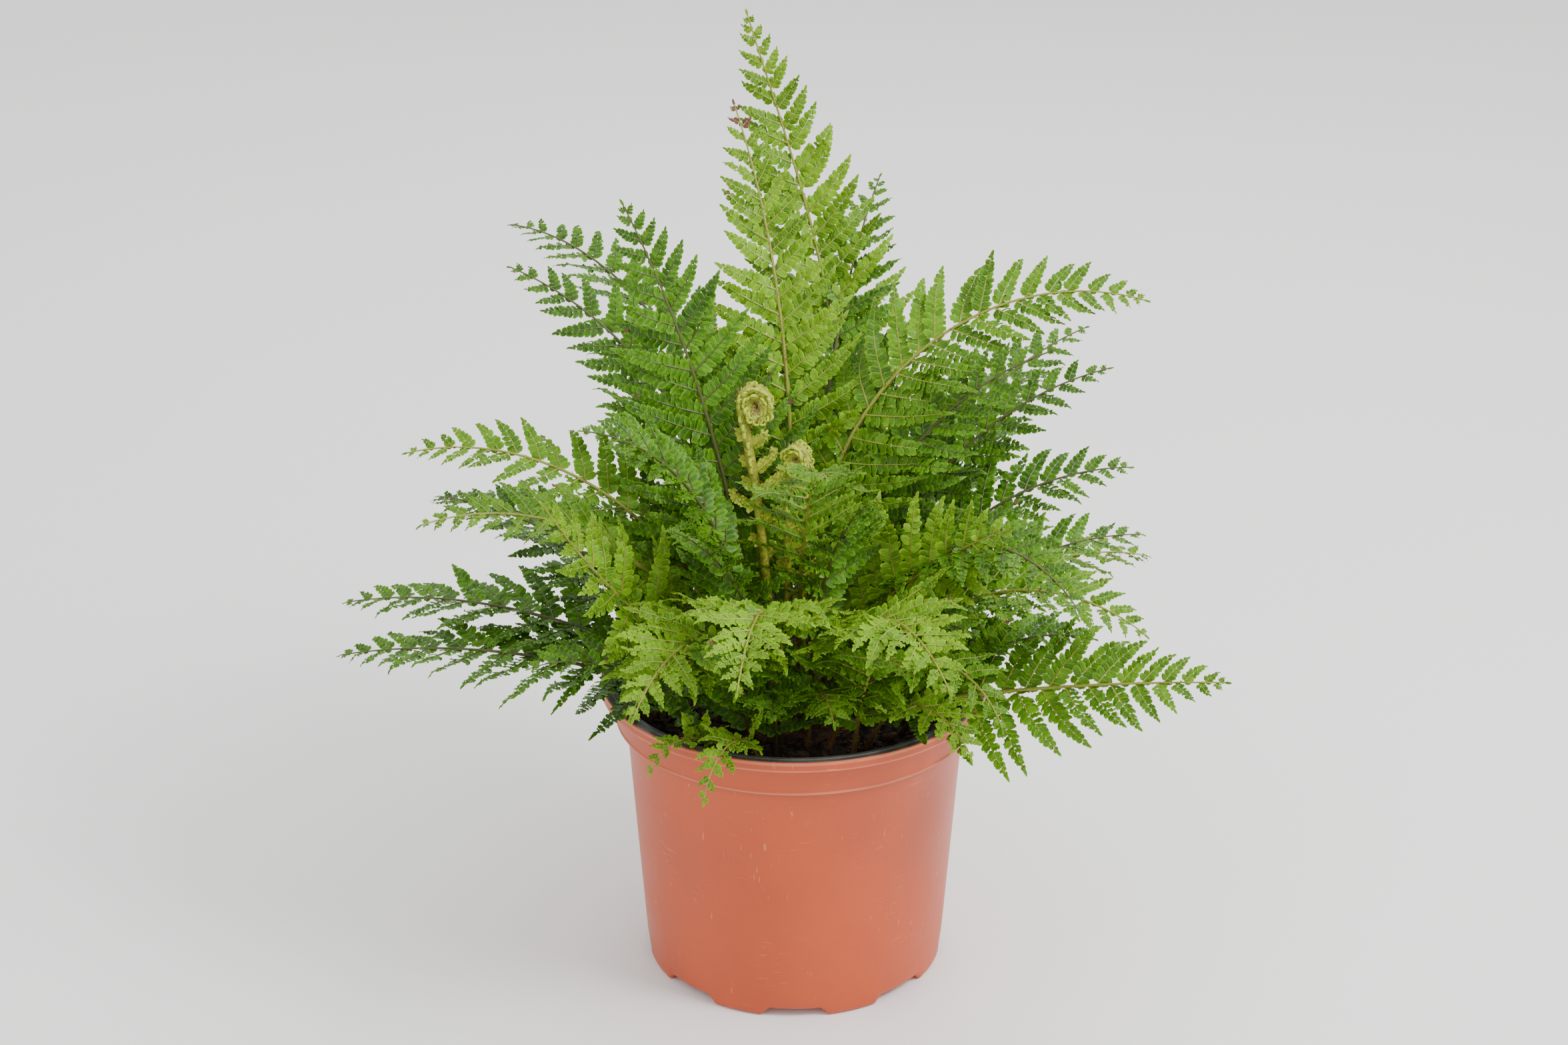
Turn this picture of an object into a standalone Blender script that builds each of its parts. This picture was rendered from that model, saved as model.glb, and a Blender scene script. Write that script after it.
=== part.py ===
"""A potted fern: a thin nursery pot, its soil, the fern's crown, its fronds and its croziers.

World frame: metres, +Z up, the pot's axis on Z, the middle of the pot's flat underside at the origin.
Every frond is one grown piece: a stalk that runs on as the midrib of the blade, with leaflets
(pinnae) on both sides. Its curve is worked out from how far it leans at the foot, how much it
arches towards the tip, and which way it heads.
"""

from collections import namedtuple

import bmesh
import bpy
import numpy as np
from mathutils.bvhtree import BVHTree

MM = 0.001
GAP = 0.3 * MM  # clearance between pieces that rest on each other

# Pot, in millimetres: a 19 cm nursery pot drawn from one thin sheet.
POT_HEIGHT = 150.0
RIM_RADIUS = 95.0
LIP_DROP = 5.0
COLLAR_RADIUS = 88.6
COLLAR_BOTTOM = 129.0
BODY_TOP_RADIUS = 83.0
BASE_RADIUS = 74.0
WALL = 1.2
FLANGE_STEP = 0.5
EDGE_BREAK = 0.7  # how far the lip's top edge is rounded off
COLLAR_STEP = 1.4  # height of the slanted step from the body out to the collar

# Drainage: raised channels under the floor, which open as notches between the feet.
CHANNELS = 8
CHANNEL_HEIGHT = 4.0
CHANNEL_INNER_RADIUS = 42.0
CHANNEL_FULL_RADIUS = 50.0
SLOT_OUTER_RADIUS = 60.0
FOOT_CORNER = 2.2  # height of the slanted edge round the feet
# Angles within one channel's share of the circle, in degrees from its middle.
CHANNEL_ANGLES = (-22.5, -12.2, -11.0, -3.7, 3.7, 11.0, 12.2)
CHANNEL_HALF_ANGLE = 11.5
SLOT_HALF_ANGLE = 4.0

# Soil and crown, in millimetres.
SOIL_TOP = 127.0
SOIL_RISE = 5.0
SOIL_LUMP = 1.3
SOIL_SLOPE_WIDTH = 20.0
SOIL_RING_RADII = (66.0, 52.0)
CROWN_RADIUS = 40.0
CROWN_HEIGHT = 9.0
CROWN_EDGE = 0.6
CROWN_KNOB = 0.7
CROWN_SECTORS = 24
CROWN_RING_RADII = (34.0, 24.0, 12.0)
FLAT_MARGIN = 2.0  # how much further than the crown the soil's flat middle reaches

# Frond build: the stalk and the midrib, in millimetres.
ARCH_POWER = 1.6
CURVE_STEPS = 200
STALK_RADIUS = 2.1
TIP_RADIUS = 0.55
TAPER_POWER = 0.8
SQUARE_SHARE = 0.8  # half the side of the stalk's square section, next to its radius
SLIM_BASE = 0.45  # a stalk is slimmer on a short frond: this share of the radius,
SLIM_LENGTH = 400.0  # plus the frond's length over this one
FOOT_RISE = 1.6  # height of a foot over the ground beside it
FOOT_REACH = 1.5  # how many radii around the foot the ground is looked at
STALK_RINGS = 4

# Frond build: the pinnae.
END_SPACE = 0.6  # bare share of a spacing before the first pair and after the last
PINNA_START = 0.45  # length of the first pinna, next to the longest before the blade narrows
PINNA_RISE = 0.22  # share of the blade over which the pinnae would grow by a whole length
PINNA_NARROWING = 0.75
PINNA_SCALE = 1.25
MIDDLE_PLACE = 0.45  # where along a pinna it is widest
TIP_DROP = 0.06  # how far the tip hangs below the pinna's plane, next to its length
ROOT_CLEAR = 0.04  # share of a pinna near its root that the clearance test leaves out
PINNA_SHARE = 0.72  # of the spacing between pinnae that each one's root takes up
PINNA_ANGLE = 70.0  # degrees from the midrib at the blade's base
PINNA_ANGLE_TIP = 48.0
PINNA_THICK = 1.1
SHORTEST_PINNA = 4.0
WIDEST_PINNA = 0.16  # half a pinna's width at its middle, next to its length
LIFTS = (0, 12, -12, 25, -25, 40, -40, 55, -55)
SHORTENINGS = (1.0, 0.85, 0.7, 0.55, 0.4, 0.28)

Frond = namedtuple(
    "Frond",
    "name foot_angle foot bearing lean arch sway face roll length bare pinna pairs hue",
)

# Angles in degrees and lengths in millimetres. foot and foot_angle place the stalk's foot around the
# pot's axis; bearing is the heading it leans to (0 is +X, 90 is +Y); lean is measured from upright;
# face is the heading that the blade's underside turns to and roll tips the blade about its midrib;
# bare is the share of the length with no pinnae; pinna is the longest pinna.
FRONDS = [
    Frond("apex_frond", 48, 9, 40, 22, -5, 146, 95, 0, 332, 0.34, 56, 8, "young"),
    Frond("brown_tip_frond", 110, 14, 112, -8, 50, 5, 90, 0, 290, 0.42, 48, 7, "young"),
    Frond("left_centre_frond", 190, 15, 185, 8, 17, 0, 100, 0, 255, 0.38, 62, 7, "old"),
    Frond("left_upper_frond", 165, 22, 170, 4, 65, 0, 150, 20, 250, 0.40, 55, 6, "old"),
    Frond("left_rear_frond", 135, 22, 143, 3, 92, 0, 130, 10, 290, 0.42, 52, 6, "old"),
    Frond("left_mid_frond", 195, 23, 180, 20, 84, 0, 180, 30, 225, 0.36, 45, 7, "olive"),
    Frond("left_drooping_frond", 213, 30, 196, 24, 75, 10, 200, 20, 210, 0.36, 42, 6, "olive"),
    Frond("left_young_frond", 228, 22, 214, 50, -20, 5, 200, 40, 180, 0.42, 45, 6, "young"),
    Frond("left_low_frond", 180, 32, 180, 62, 42, -10, 175, 5, 198, 0.22, 56, 8, "old"),
    Frond("left_lowest_frond", 202, 36, 192, 66, 34, -12, 185, 5, 190, 0.22, 56, 8, "old"),
    Frond("right_upper_frond", 358, 9, 6, -4, 110, -10, 0, -45, 297, 0.40, 55, 8, "olive"),
    Frond("right_mid_frond", 12, 22, 0, 14, 61, 0, 0, -30, 217, 0.36, 48, 7, "old"),
    Frond("right_side_frond", 350, 26, 355, 22, 65, 0, 355, -30, 190, 0.32, 50, 7, "old"),
    Frond("right_curling_frond", 328, 20, 330, 20, 102, -30, 320, -20, 215, 0.38, 48, 7, "old"),
    Frond("right_front_frond", 342, 33, 325, 30, 90, 5, 325, -20, 185, 0.36, 46, 6, "olive"),
    Frond("right_low_frond", 322, 34, 332, 70, 8, 0, 332, -45, 195, 0.20, 50, 8, "olive"),
    Frond("front_young_frond", 270, 10, 322, 36, 25, 0, 20, -35, 170, 0.38, 52, 6, "young"),
    Frond("rim_right_frond", 290, 48, 335, 20, 125, -30, 330, -20, 140, 0.50, 36, 5, "olive"),
    Frond("rim_left_frond", 238, 42, 228, 20, 120, 10, 218, 10, 120, 0.35, 38, 5, "young"),
    Frond("front_frond", 262, 26, 262, 25, 95, 0, 262, 0, 200, 0.40, 50, 6, "young"),
    Frond("front_right_frond", 300, 27, 290, 28, 90, 0, 290, -10, 190, 0.38, 48, 6, "young"),
    Frond("front_left_frond", 246, 36, 245, 25, 105, 0, 245, 10, 170, 0.38, 45, 6, "young"),
    Frond("rear_upper_frond", 70, 18, 70, 4, 55, 0, 75, 0, 260, 0.38, 55, 6, "old"),
    Frond("rear_right_frond", 32, 25, 28, 18, 60, 0, 28, -20, 222, 0.36, 52, 6, "old"),
    Frond("rear_frond", 88, 27, 85, 25, 70, 0, 85, 0, 270, 0.34, 58, 6, "old"),
    Frond("rear_left_frond", 115, 30, 118, 38, 65, 0, 118, 0, 250, 0.32, 56, 6, "old"),
    Frond("rear_left_low_frond", 152, 34, 152, 50, 55, 0, 152, 5, 195, 0.30, 52, 6, "old"),
    Frond("rear_right_low_frond", 55, 33, 55, 42, 60, 0, 55, 0, 240, 0.32, 56, 6, "old"),
    Frond("right_rear_low_frond", 18, 35, 15, 48, 60, 0, 15, -10, 165, 0.30, 50, 6, "olive"),
    Frond("inner_left_frond", 215, 24, 222, 6, 66, 0, 190, 15, 205, 0.42, 46, 6, "old"),
    Frond("inner_front_frond", 272, 19, 276, 8, 72, 0, 276, 0, 215, 0.42, 48, 6, "olive"),
    Frond("inner_right_frond", 340, 14, 344, 8, 58, 0, 20, -25, 225, 0.42, 48, 6, "old"),
    Frond("mid_left_frond", 172, 38, 168, 38, 50, 0, 168, 15, 172, 0.32, 48, 6, "old"),
    Frond("mid_right_frond", 2, 36, 4, 38, 54, 0, 4, -20, 160, 0.32, 48, 6, "old"),
    Frond("rear_low_frond", 100, 37, 100, 52, 50, 0, 100, 0, 205, 0.30, 52, 6, "old"),
    Frond("rim_front_frond", 278, 44, 280, 22, 95, 0, 280, 0, 85, 0.35, 32, 5, "olive"),
    Frond("rim_front_right_frond", 310, 54, 306, 30, 110, 0, 306, 0, 95, 0.35, 34, 5, "young"),
    Frond("low_front_frond", 260, 52, 268, 15, 90, 0, 268, 0, 78, 0.30, 28, 4, "old"),
    Frond("rim_rear_left_frond", 135, 52, 135, 42, 85, 0, 135, 0, 125, 0.32, 40, 5, "old"),
    Frond("rim_rear_right_frond", 72, 54, 72, 42, 85, 0, 72, 0, 125, 0.32, 40, 5, "olive"),
    Frond("small_front_frond", 256, 64, 246, 28, 130, 0, 246, 0, 84, 0.35, 20, 4, "young"),
    Frond("small_left_frond", 240, 64, 228, 30, 110, 0, 228, 0, 66, 0.35, 16, 4, "young"),
    Frond("under_front_frond", 299, 57, 283, 18, 75, 0, 275, 0, 130, 0.24, 44, 6, "olive"),
    Frond("under_left_front_frond", 248, 55, 254, 15, 72, 0, 248, 5, 125, 0.24, 44, 6, "old"),
    Frond("under_right_front_frond", 304, 39, 312, 21, 72, 0, 304, -5, 125, 0.24, 44, 6, "old"),
    Frond("under_left_frond", 220, 58, 214, 31, 62, 0, 214, 10, 118, 0.24, 40, 6, "old"),
    Frond("under_right_frond", 336, 58, 338, 31, 62, 0, 338, -10, 118, 0.24, 40, 6, "old"),
    Frond("core_left_frond", 259, 41, 227, 10, 50, 0, 235, 0, 150, 0.26, 46, 6, "old"),
    Frond("core_right_frond", 281, 33, 297, 4, 50, 0, 305, 0, 150, 0.26, 46, 6, "old"),
    Frond("core_rear_frond", 74, 41, 72, 10, 50, 0, 80, 0, 160, 0.26, 48, 6, "old"),
    Frond("edge_left_frond", 222, 44, 232, 34, 70, 0, 232, 0, 78, 0.20, 26, 5, "old"),
]

Crozier = namedtuple(
    "Crozier",
    "name foot_angle foot bearing lean arch length radius coil turns plane",
)

# A crozier's stem follows a frond's rule; its coil winds in the upright plane through heading plane.
CROZIERS = [
    Crozier("tall_crozier", 215, 12, 180, 3, 8, 148, 2.3, 7.0, 1.25, 0),
    Crozier("small_crozier", 235, 6, 270, 3, 5, 126, 1.8, 5.2, 1.25, 330),
    Crozier("low_crozier", 300, 4, 295, 5, 15, 70, 2.0, 6.0, 1.2, 340),
]
COIL_STEPS = 22
COIL_SHRINK = 0.62  # share of the coil's radius that is lost by its end
CROZIER_STEM_RINGS = 12
CROZIER_SIDES = 6
CROZIER_TOP_SHARE = 0.8  # stem radius at the coil's start, next to the foot's
CROZIER_END_SHARE = 0.4  # and at the coil's end

POT_ORANGE = (0.60, 0.19, 0.095)
SOIL_BROWN = (0.045, 0.028, 0.018)
CROWN_BROWN = (0.16, 0.075, 0.03)
CROZIER_GOLD = (0.42, 0.36, 0.12)
HUES = {
    "young": (0.33, 0.42, 0.07),
    "olive": (0.20, 0.30, 0.06),
    "old": (0.09, 0.19, 0.045),
}


def unit(vectors):
    """Vectors scaled to length 1 along their last axis."""
    return vectors / np.linalg.norm(vectors, axis=-1, keepdims=True)


def material(name, colour, roughness):
    """A plain Principled material."""
    made = bpy.data.materials.new(name)
    made.use_nodes = True
    shader = made.node_tree.nodes["Principled BSDF"]
    shader.inputs["Base Color"].default_value = (*colour, 1.0)
    shader.inputs["Roughness"].default_value = roughness
    shader.inputs["Metallic"].default_value = 0.0
    made.diffuse_color = (*colour, 1.0)
    return made


def add_object(name, points, faces, colour, roughness, smooth_angle=40.0):
    """One closed body from points in metres and faces, with its normals pointing out."""
    mesh = bpy.data.meshes.new(name)
    mesh.from_pydata([tuple(p) for p in points], [], [tuple(f) for f in faces])
    shape = bmesh.new()
    shape.from_mesh(mesh)
    bmesh.ops.recalc_face_normals(shape, faces=shape.faces)
    bmesh.ops.triangulate(shape, faces=shape.faces)
    if shape.calc_volume(signed=True) < 0:
        bmesh.ops.reverse_faces(shape, faces=shape.faces)
    shape.to_mesh(mesh)
    shape.free()
    mesh.shade_smooth()
    mesh.set_sharp_from_angle(angle=np.radians(smooth_angle))
    mesh.materials.append(material(name + "_finish", colour, roughness))
    made = bpy.data.objects.new(name, mesh)
    bpy.context.scene.collection.objects.link(made)
    return made


def channel_stations():
    """Angles round the pot in radians, whether each lies in a channel (1 or 0), and the numbers of
    the stations where each slot starts."""
    share = 360.0 / CHANNELS
    offsets = np.tile(CHANNEL_ANGLES, CHANNELS)
    middles = np.repeat(np.arange(CHANNELS) * share, len(CHANNEL_ANGLES))
    raised = np.abs(offsets) < CHANNEL_HALF_ANGLE
    slot_starts = np.flatnonzero((offsets < 0) & (offsets > -SLOT_HALF_ANGLE))
    return np.radians(middles + offsets), raised.astype(float), slot_starts


def revolve(profile, lift, angles, raised):
    """Rings of points: each profile point (radius, height), turned round Z and raised by lift where
    the angle lies in a channel."""
    radius = np.array([r for r, z in profile])[:, None]
    height = np.array([z for r, z in profile])[:, None]
    up = np.array(lift)[:, None] * raised[None, :]
    return np.stack(
        [
            radius * np.cos(angles)[None, :],
            radius * np.sin(angles)[None, :],
            height + up,
        ],
        axis=-1,
    )


def ring_faces(rings, sectors, skip=()):
    """Quads between each ring and the next, less the (ring, sector) cells in skip."""
    faces = []
    for i in range(rings - 1):
        for j in range(sectors):
            if (i, j) in skip:
                continue
            k = (j + 1) % sectors
            here, above = i * sectors, (i + 1) * sectors
            faces.append((here + j, here + k, above + k, above + j))
    return faces


def cap_faces(count, sectors, low, high):
    """Triangles that close the first ring round point low and the last of count rings round high."""
    last = (count - 1) * sectors
    faces = []
    for j in range(sectors):
        k = (j + 1) % sectors
        faces.append((low, k, j))
        faces.append((high, last + j, last + k))
    return faces


def build_pot():
    """The pot: one thin wall from the flat floor up the tapered body, out to the collar and the
    stepped flange, with its turned-down lip. Channels raise the floor's outer part."""
    angles, raised, slot_starts = channel_stations()
    flange_under = POT_HEIGHT - WALL - FLANGE_STEP
    # Each entry: radius, height, and the share of the channels' height that it is raised by.
    outline = [
        (CHANNEL_INNER_RADIUS, 0.0, 0.0),
        (CHANNEL_FULL_RADIUS, 0.0, 1.0),
        (SLOT_OUTER_RADIUS, 0.0, 1.0),
        (BASE_RADIUS - 2.4, 0.0, 1.0),
        (BASE_RADIUS - 0.8, 0.5, 1.0),
        (BASE_RADIUS, FOOT_CORNER, 1.0),
        (BODY_TOP_RADIUS, COLLAR_BOTTOM, 0.0),
        (COLLAR_RADIUS - COLLAR_STEP, COLLAR_BOTTOM + 0.6, 0.0),
        (COLLAR_RADIUS - 1.0, COLLAR_BOTTOM + 2.0, 0.0),
        (COLLAR_RADIUS, flange_under, 0.0),
        (RIM_RADIUS - WALL, flange_under, 0.0),
        (RIM_RADIUS - WALL, POT_HEIGHT - LIP_DROP, 0.0),
        (RIM_RADIUS, POT_HEIGHT - LIP_DROP, 0.0),
        (RIM_RADIUS, POT_HEIGHT - EDGE_BREAK, 0.0),
        (RIM_RADIUS - EDGE_BREAK, POT_HEIGHT, 0.0),
        (RIM_RADIUS - 3.4, POT_HEIGHT, 0.0),
        (RIM_RADIUS - 3.7, POT_HEIGHT - FLANGE_STEP, 0.0),
        (COLLAR_RADIUS - 0.4, POT_HEIGHT - FLANGE_STEP, 0.0),
        (COLLAR_RADIUS - 1.3, POT_HEIGHT - 1.3, 0.0),
        (COLLAR_RADIUS - 2.3, COLLAR_BOTTOM + 2.2, 0.0),
        (BODY_TOP_RADIUS - WALL, COLLAR_BOTTOM + COLLAR_STEP, 0.0),
        (BASE_RADIUS - WALL, FOOT_CORNER + 0.6, 1.0),
        (BASE_RADIUS - 2.6, WALL, 1.0),
        (SLOT_OUTER_RADIUS, WALL, 1.0),
        (CHANNEL_FULL_RADIUS, WALL, 1.0),
        (CHANNEL_INNER_RADIUS, WALL, 0.0),
    ]
    profile = [(r, z) for r, z, up in outline]
    lift = [up * CHANNEL_HEIGHT for r, z, up in outline]
    rings = revolve(profile, lift, angles, raised)
    sectors = len(angles)
    count = len(profile)
    under, over = 1, count - 3  # the rings where each slot starts, below and above the floor
    skip = {(under, j) for j in slot_starts} | {(over, j) for j in slot_starts}
    faces = ring_faces(count, sectors, skip)
    for j in slot_starts:
        below = [under * sectors + j, under * sectors + j + 1]
        below += [(under + 1) * sectors + j + 1, (under + 1) * sectors + j]
        above = [(over + 1) * sectors + j, (over + 1) * sectors + j + 1]
        above += [over * sectors + j + 1, over * sectors + j]
        faces += [(below[k], below[(k + 1) % 4], above[(k + 1) % 4], above[k]) for k in range(4)]
    points = np.concatenate([rings.reshape(-1, 3), [(0, 0, 0), (0, 0, WALL)]])
    faces += cap_faces(count, sectors, len(points) - 2, len(points) - 1)
    return add_object("pot", points * MM, faces, POT_ORANGE, 0.5)


def soil_surface(x, y):
    """Height of the soil in millimetres at x and y: flat under the crown, and outside it a slope down
    to the wall with lumps that are sums of sine waves."""
    radius = np.hypot(x, y)
    outside = np.clip((radius - CROWN_RADIUS - FLAT_MARGIN) / SOIL_SLOPE_WIDTH, 0.0, 1.0)
    lumps = np.sin(x * 0.21 + 1.3) * np.sin(y * 0.17 + 0.4) + 0.6 * np.sin(x * 0.09 - y * 0.13)
    return SOIL_TOP + SOIL_RISE * (1.0 - outside) + SOIL_LUMP * lumps * outside


def crown_surface(x, y):
    """Height of the crown in millimetres: a dome on the soil, with knobs."""
    radius = np.hypot(x, y)
    dome = np.sqrt(np.clip(1.0 - (radius / (CROWN_RADIUS + 1.0)) ** 2, 0.0, 1.0))
    knobs = CROWN_KNOB * np.sin(x * 0.33) * np.sin(y * 0.29 + 0.8)
    return soil_surface(x, y) + CROWN_EDGE + dome * (CROWN_HEIGHT + knobs)


def build_soil():
    """The soil: fills the pot from the floor, channels included, up to its lumpy top."""
    angles, raised = channel_stations()[:2]
    gap = GAP / MM
    wall_slope = (BODY_TOP_RADIUS - BASE_RADIUS) / (COLLAR_BOTTOM - FOOT_CORNER)
    foot_radius = BASE_RADIUS - WALL - 3 * gap
    top_radius = foot_radius + wall_slope * (SOIL_TOP - WALL)
    floor = [
        (CHANNEL_INNER_RADIUS, WALL + gap, 0.0),
        (CHANNEL_FULL_RADIUS, WALL + gap, 1.0),
        (BASE_RADIUS - 3.2, WALL + gap, 1.0),
        (foot_radius, WALL + gap + 2.0, 1.0),
    ]
    profile = [(r, z) for r, z, up in floor]
    lift = [up * CHANNEL_HEIGHT for r, z, up in floor]
    rings = revolve(profile, lift, angles, raised)
    tops = []
    for radius in (top_radius, *SOIL_RING_RADII, CROWN_RADIUS + FLAT_MARGIN):
        x, y = radius * np.cos(angles), radius * np.sin(angles)
        tops.append(np.stack([x, y, soil_surface(x, y)], axis=-1))
    rings = np.concatenate([rings, np.array(tops)])
    sectors = len(angles)
    faces = ring_faces(len(rings), sectors)
    middle_bottom = (0, 0, WALL + gap)
    middle_top = (0, 0, float(soil_surface(0.0, 0.0)))
    points = np.concatenate([rings.reshape(-1, 3), [middle_bottom, middle_top]])
    faces += cap_faces(len(rings), sectors, len(points) - 2, len(points) - 1)
    return add_object("soil", points * MM, faces, SOIL_BROWN, 0.95)


def build_crown():
    """The crown: the fern's rootstock, a knobbly dome that stands on the soil's flat middle."""
    angles = np.arange(CROWN_SECTORS) * 2 * np.pi / CROWN_SECTORS
    clear = GAP / MM
    x, y = CROWN_RADIUS * np.cos(angles), CROWN_RADIUS * np.sin(angles)
    rings = [np.stack([x, y, soil_surface(x, y) + clear], axis=-1)]
    for radius in (CROWN_RADIUS, *CROWN_RING_RADII):
        x, y = radius * np.cos(angles), radius * np.sin(angles)
        rings.append(np.stack([x, y, crown_surface(x, y) + clear], axis=-1))
    ends = [(0, 0, soil_surface(0.0, 0.0) + clear), (0, 0, crown_surface(0.0, 0.0) + clear)]
    points = np.concatenate([np.array(rings).reshape(-1, 3), ends])
    faces = ring_faces(len(rings), CROWN_SECTORS)
    faces += cap_faces(len(rings), CROWN_SECTORS, len(points) - 2, len(points) - 1)
    return add_object("crown", points * MM, faces, CROWN_BROWN, 0.9)


def foot_point(foot_angle, foot, radius):
    """Where a stalk of this radius starts, in metres: just clear of the crown, or of the soil
    outside it."""
    turn = np.radians(foot_angle)
    x, y = foot * np.cos(turn), foot * np.sin(turn)
    around = radius * FOOT_REACH * np.array([-1.0, 0.0, 1.0])
    near_x, near_y = (grid.ravel() for grid in np.meshgrid(x + around, y + around))
    on_crown = np.hypot(near_x, near_y) < CROWN_RADIUS + 1.0
    heights = np.where(on_crown, crown_surface(near_x, near_y), soil_surface(near_x, near_y))
    return np.array([x, y, heights.max() + FOOT_RISE]) * MM


def stem_curve(start, bearing, lean, arch, sway, length, shares):
    """Points and directions along a stem at shares (0 to 1) of its length. Its angle from upright is
    lean + arch * share ** ARCH_POWER and its heading is bearing + sway * share."""
    fine = np.linspace(0.0, 1.0, CURVE_STEPS + 1)
    tilt = np.radians(lean + arch * fine**ARCH_POWER)
    heading = np.radians(bearing + sway * fine)
    across = np.sin(tilt)
    ways = np.stack([across * np.cos(heading), across * np.sin(heading), np.cos(tilt)], axis=1)
    steps = (ways[1:] + ways[:-1]) / 2 * (length * MM / CURVE_STEPS)
    places = np.concatenate([[start], start + np.cumsum(steps, axis=0)])
    point = np.stack([np.interp(shares, fine, places[:, k]) for k in range(3)], axis=1)
    way = unit(np.stack([np.interp(shares, fine, ways[:, k]) for k in range(3)], axis=1))
    return point, way


def blade_sides(way, face, roll):
    """The blade's sideways direction and its upper side's normal at each station."""
    turn = np.radians(face)
    flat = np.array([np.sin(turn), -np.cos(turn), 0.0])
    side = unit(flat - (way @ flat)[:, None] * way)
    upper = np.cross(side, way)
    tip = np.radians(roll)
    tipped = side * np.cos(tip) + upper * np.sin(tip)
    return tipped, np.cross(tipped, way)


def pinna_share(u):
    """Length of a pinna at share u of the blade, next to the longest: it grows quickly from the base
    and narrows to the tip."""
    growing = np.minimum(1.0, PINNA_START + u / PINNA_RISE)
    return growing * (1.0 - u) ** PINNA_NARROWING * PINNA_SCALE


def frond_shares(frond):
    """Stations along a frond: the stalk's, then two for each pair of pinnae, then the tip."""
    stalk = np.linspace(0.0, frond.bare, STALK_RINGS, endpoint=False)
    spacing = (1.0 - frond.bare) / (frond.pairs + END_SPACE)
    middles = frond.bare + spacing * (np.arange(frond.pairs) + END_SPACE)
    half = spacing * PINNA_SHARE / 2
    pairs = np.stack([middles - half, middles + half], axis=1).ravel()
    return np.concatenate([stalk, pairs, [1.0]])


def frond_rings(frond):
    """The square rings of a frond's stalk and midrib, with the side and upper directions at each."""
    shares = frond_shares(frond)
    start = foot_point(frond.foot_angle, frond.foot, STALK_RADIUS)
    bend = (frond.bearing, frond.lean, frond.arch, frond.sway, frond.length)
    place, way = stem_curve(start, *bend, shares)
    side, upper = blade_sides(way, frond.face, frond.roll)
    slim = min(1.0, SLIM_BASE + frond.length / SLIM_LENGTH)
    radius = STALK_RADIUS + (TIP_RADIUS - STALK_RADIUS) * shares**TAPER_POWER
    half = (radius * slim * SQUARE_SHARE * MM)[:, None]
    corners = [(-1, -1), (1, -1), (1, 1), (-1, 1)]
    rings = np.stack([place + half * (a * side + b * upper) for a, b in corners], axis=1)
    return shares, place, way, side, upper, rings


def tube_faces(rings, sides):
    """Faces of a tube of that many rings with closed ends."""
    faces = [tuple(range(sides))[::-1]]
    for i in range(rings - 1):
        for j in range(sides):
            k = (j + 1) % sides
            here, above = i * sides, (i + 1) * sides
            faces.append((here + j, here + k, above + k, above + j))
    faces.append(tuple(range((rings - 1) * sides, rings * sides)))
    return faces


def tree_of(points, faces):
    """A search tree of these faces, for tests of what crosses what."""
    return BVHTree.FromPolygons([tuple(p) for p in points], [tuple(f) for f in faces])


def pinna_points(frond, base, hand, station, frame, lift, length, extra=0.0):
    """A pinna's four middle points and its tip. hand is 1 or -1 for the side; lift turns the pinna
    up about the midrib; extra thickens it for the clearance test."""
    shares, place, way, side, upper, rings = frame
    u = (shares[station] - frond.bare) / (1.0 - frond.bare)
    angle = np.radians(PINNA_ANGLE + (PINNA_ANGLE_TIP - PINNA_ANGLE) * u)
    turn = np.radians(lift)
    out = hand * (side[station] * np.cos(turn)) + upper[station] * np.sin(turn)
    forward = (way[station] + way[station + 1]) / 2
    along = out * np.sin(angle) + forward * np.cos(angle)
    normal = unit(np.cross(forward, out) * -hand)
    root = base.mean(axis=0)
    half_width = np.linalg.norm(rings[station + 1].mean(axis=0) - rings[station].mean(axis=0)) / 2
    middle = root + along * length * MIDDLE_PLACE
    thick = (PINNA_THICK / 2 * MM + extra) * normal
    wide = forward * min(half_width, length * WIDEST_PINNA)
    near, far = middle - wide, middle + wide
    mid = np.array([near - thick, far - thick, far + thick, near + thick])
    return mid, root + along * length - normal * TIP_DROP * length


def pinna_faces(base, mid, tip):
    """Faces from the four root points to the four middle points and on to the tip."""
    faces = [(base[k], base[(k + 1) % 4], mid[(k + 1) % 4], mid[k]) for k in range(4)]
    return faces + [(mid[k], mid[(k + 1) % 4], tip) for k in range(4)]


def find_room(frond, base, hand, station, frame, taken):
    """The first turn and length at which this pinna crosses nothing that is already there."""
    shares = frame[0]
    u = (shares[station] + shares[station + 1]) / 2
    u = (u - frond.bare) / (1.0 - frond.bare)
    full = frond.pinna * pinna_share(u)
    numbers = pinna_faces(range(4), range(4, 8), 8) + [(3, 2, 1, 0)]
    for shorter in SHORTENINGS:
        if full * shorter < SHORTEST_PINNA:
            return None
        for lift in LIFTS:
            length = full * shorter * MM
            mid, tip = pinna_points(frond, base, hand, station, frame, lift, length, extra=2 * GAP)
            root = base + (mid.mean(axis=0) - base.mean(axis=0)) * ROOT_CLEAR
            reach = tip + unit(tip - base.mean(axis=0)) * 3 * GAP
            shell = tree_of(np.concatenate([root, mid, [reach]]), numbers)
            if not any(shell.overlap(tree) for tree in taken):
                mid, tip = pinna_points(frond, base, hand, station, frame, lift, length)
                return mid, tip, shell
    return None


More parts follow.
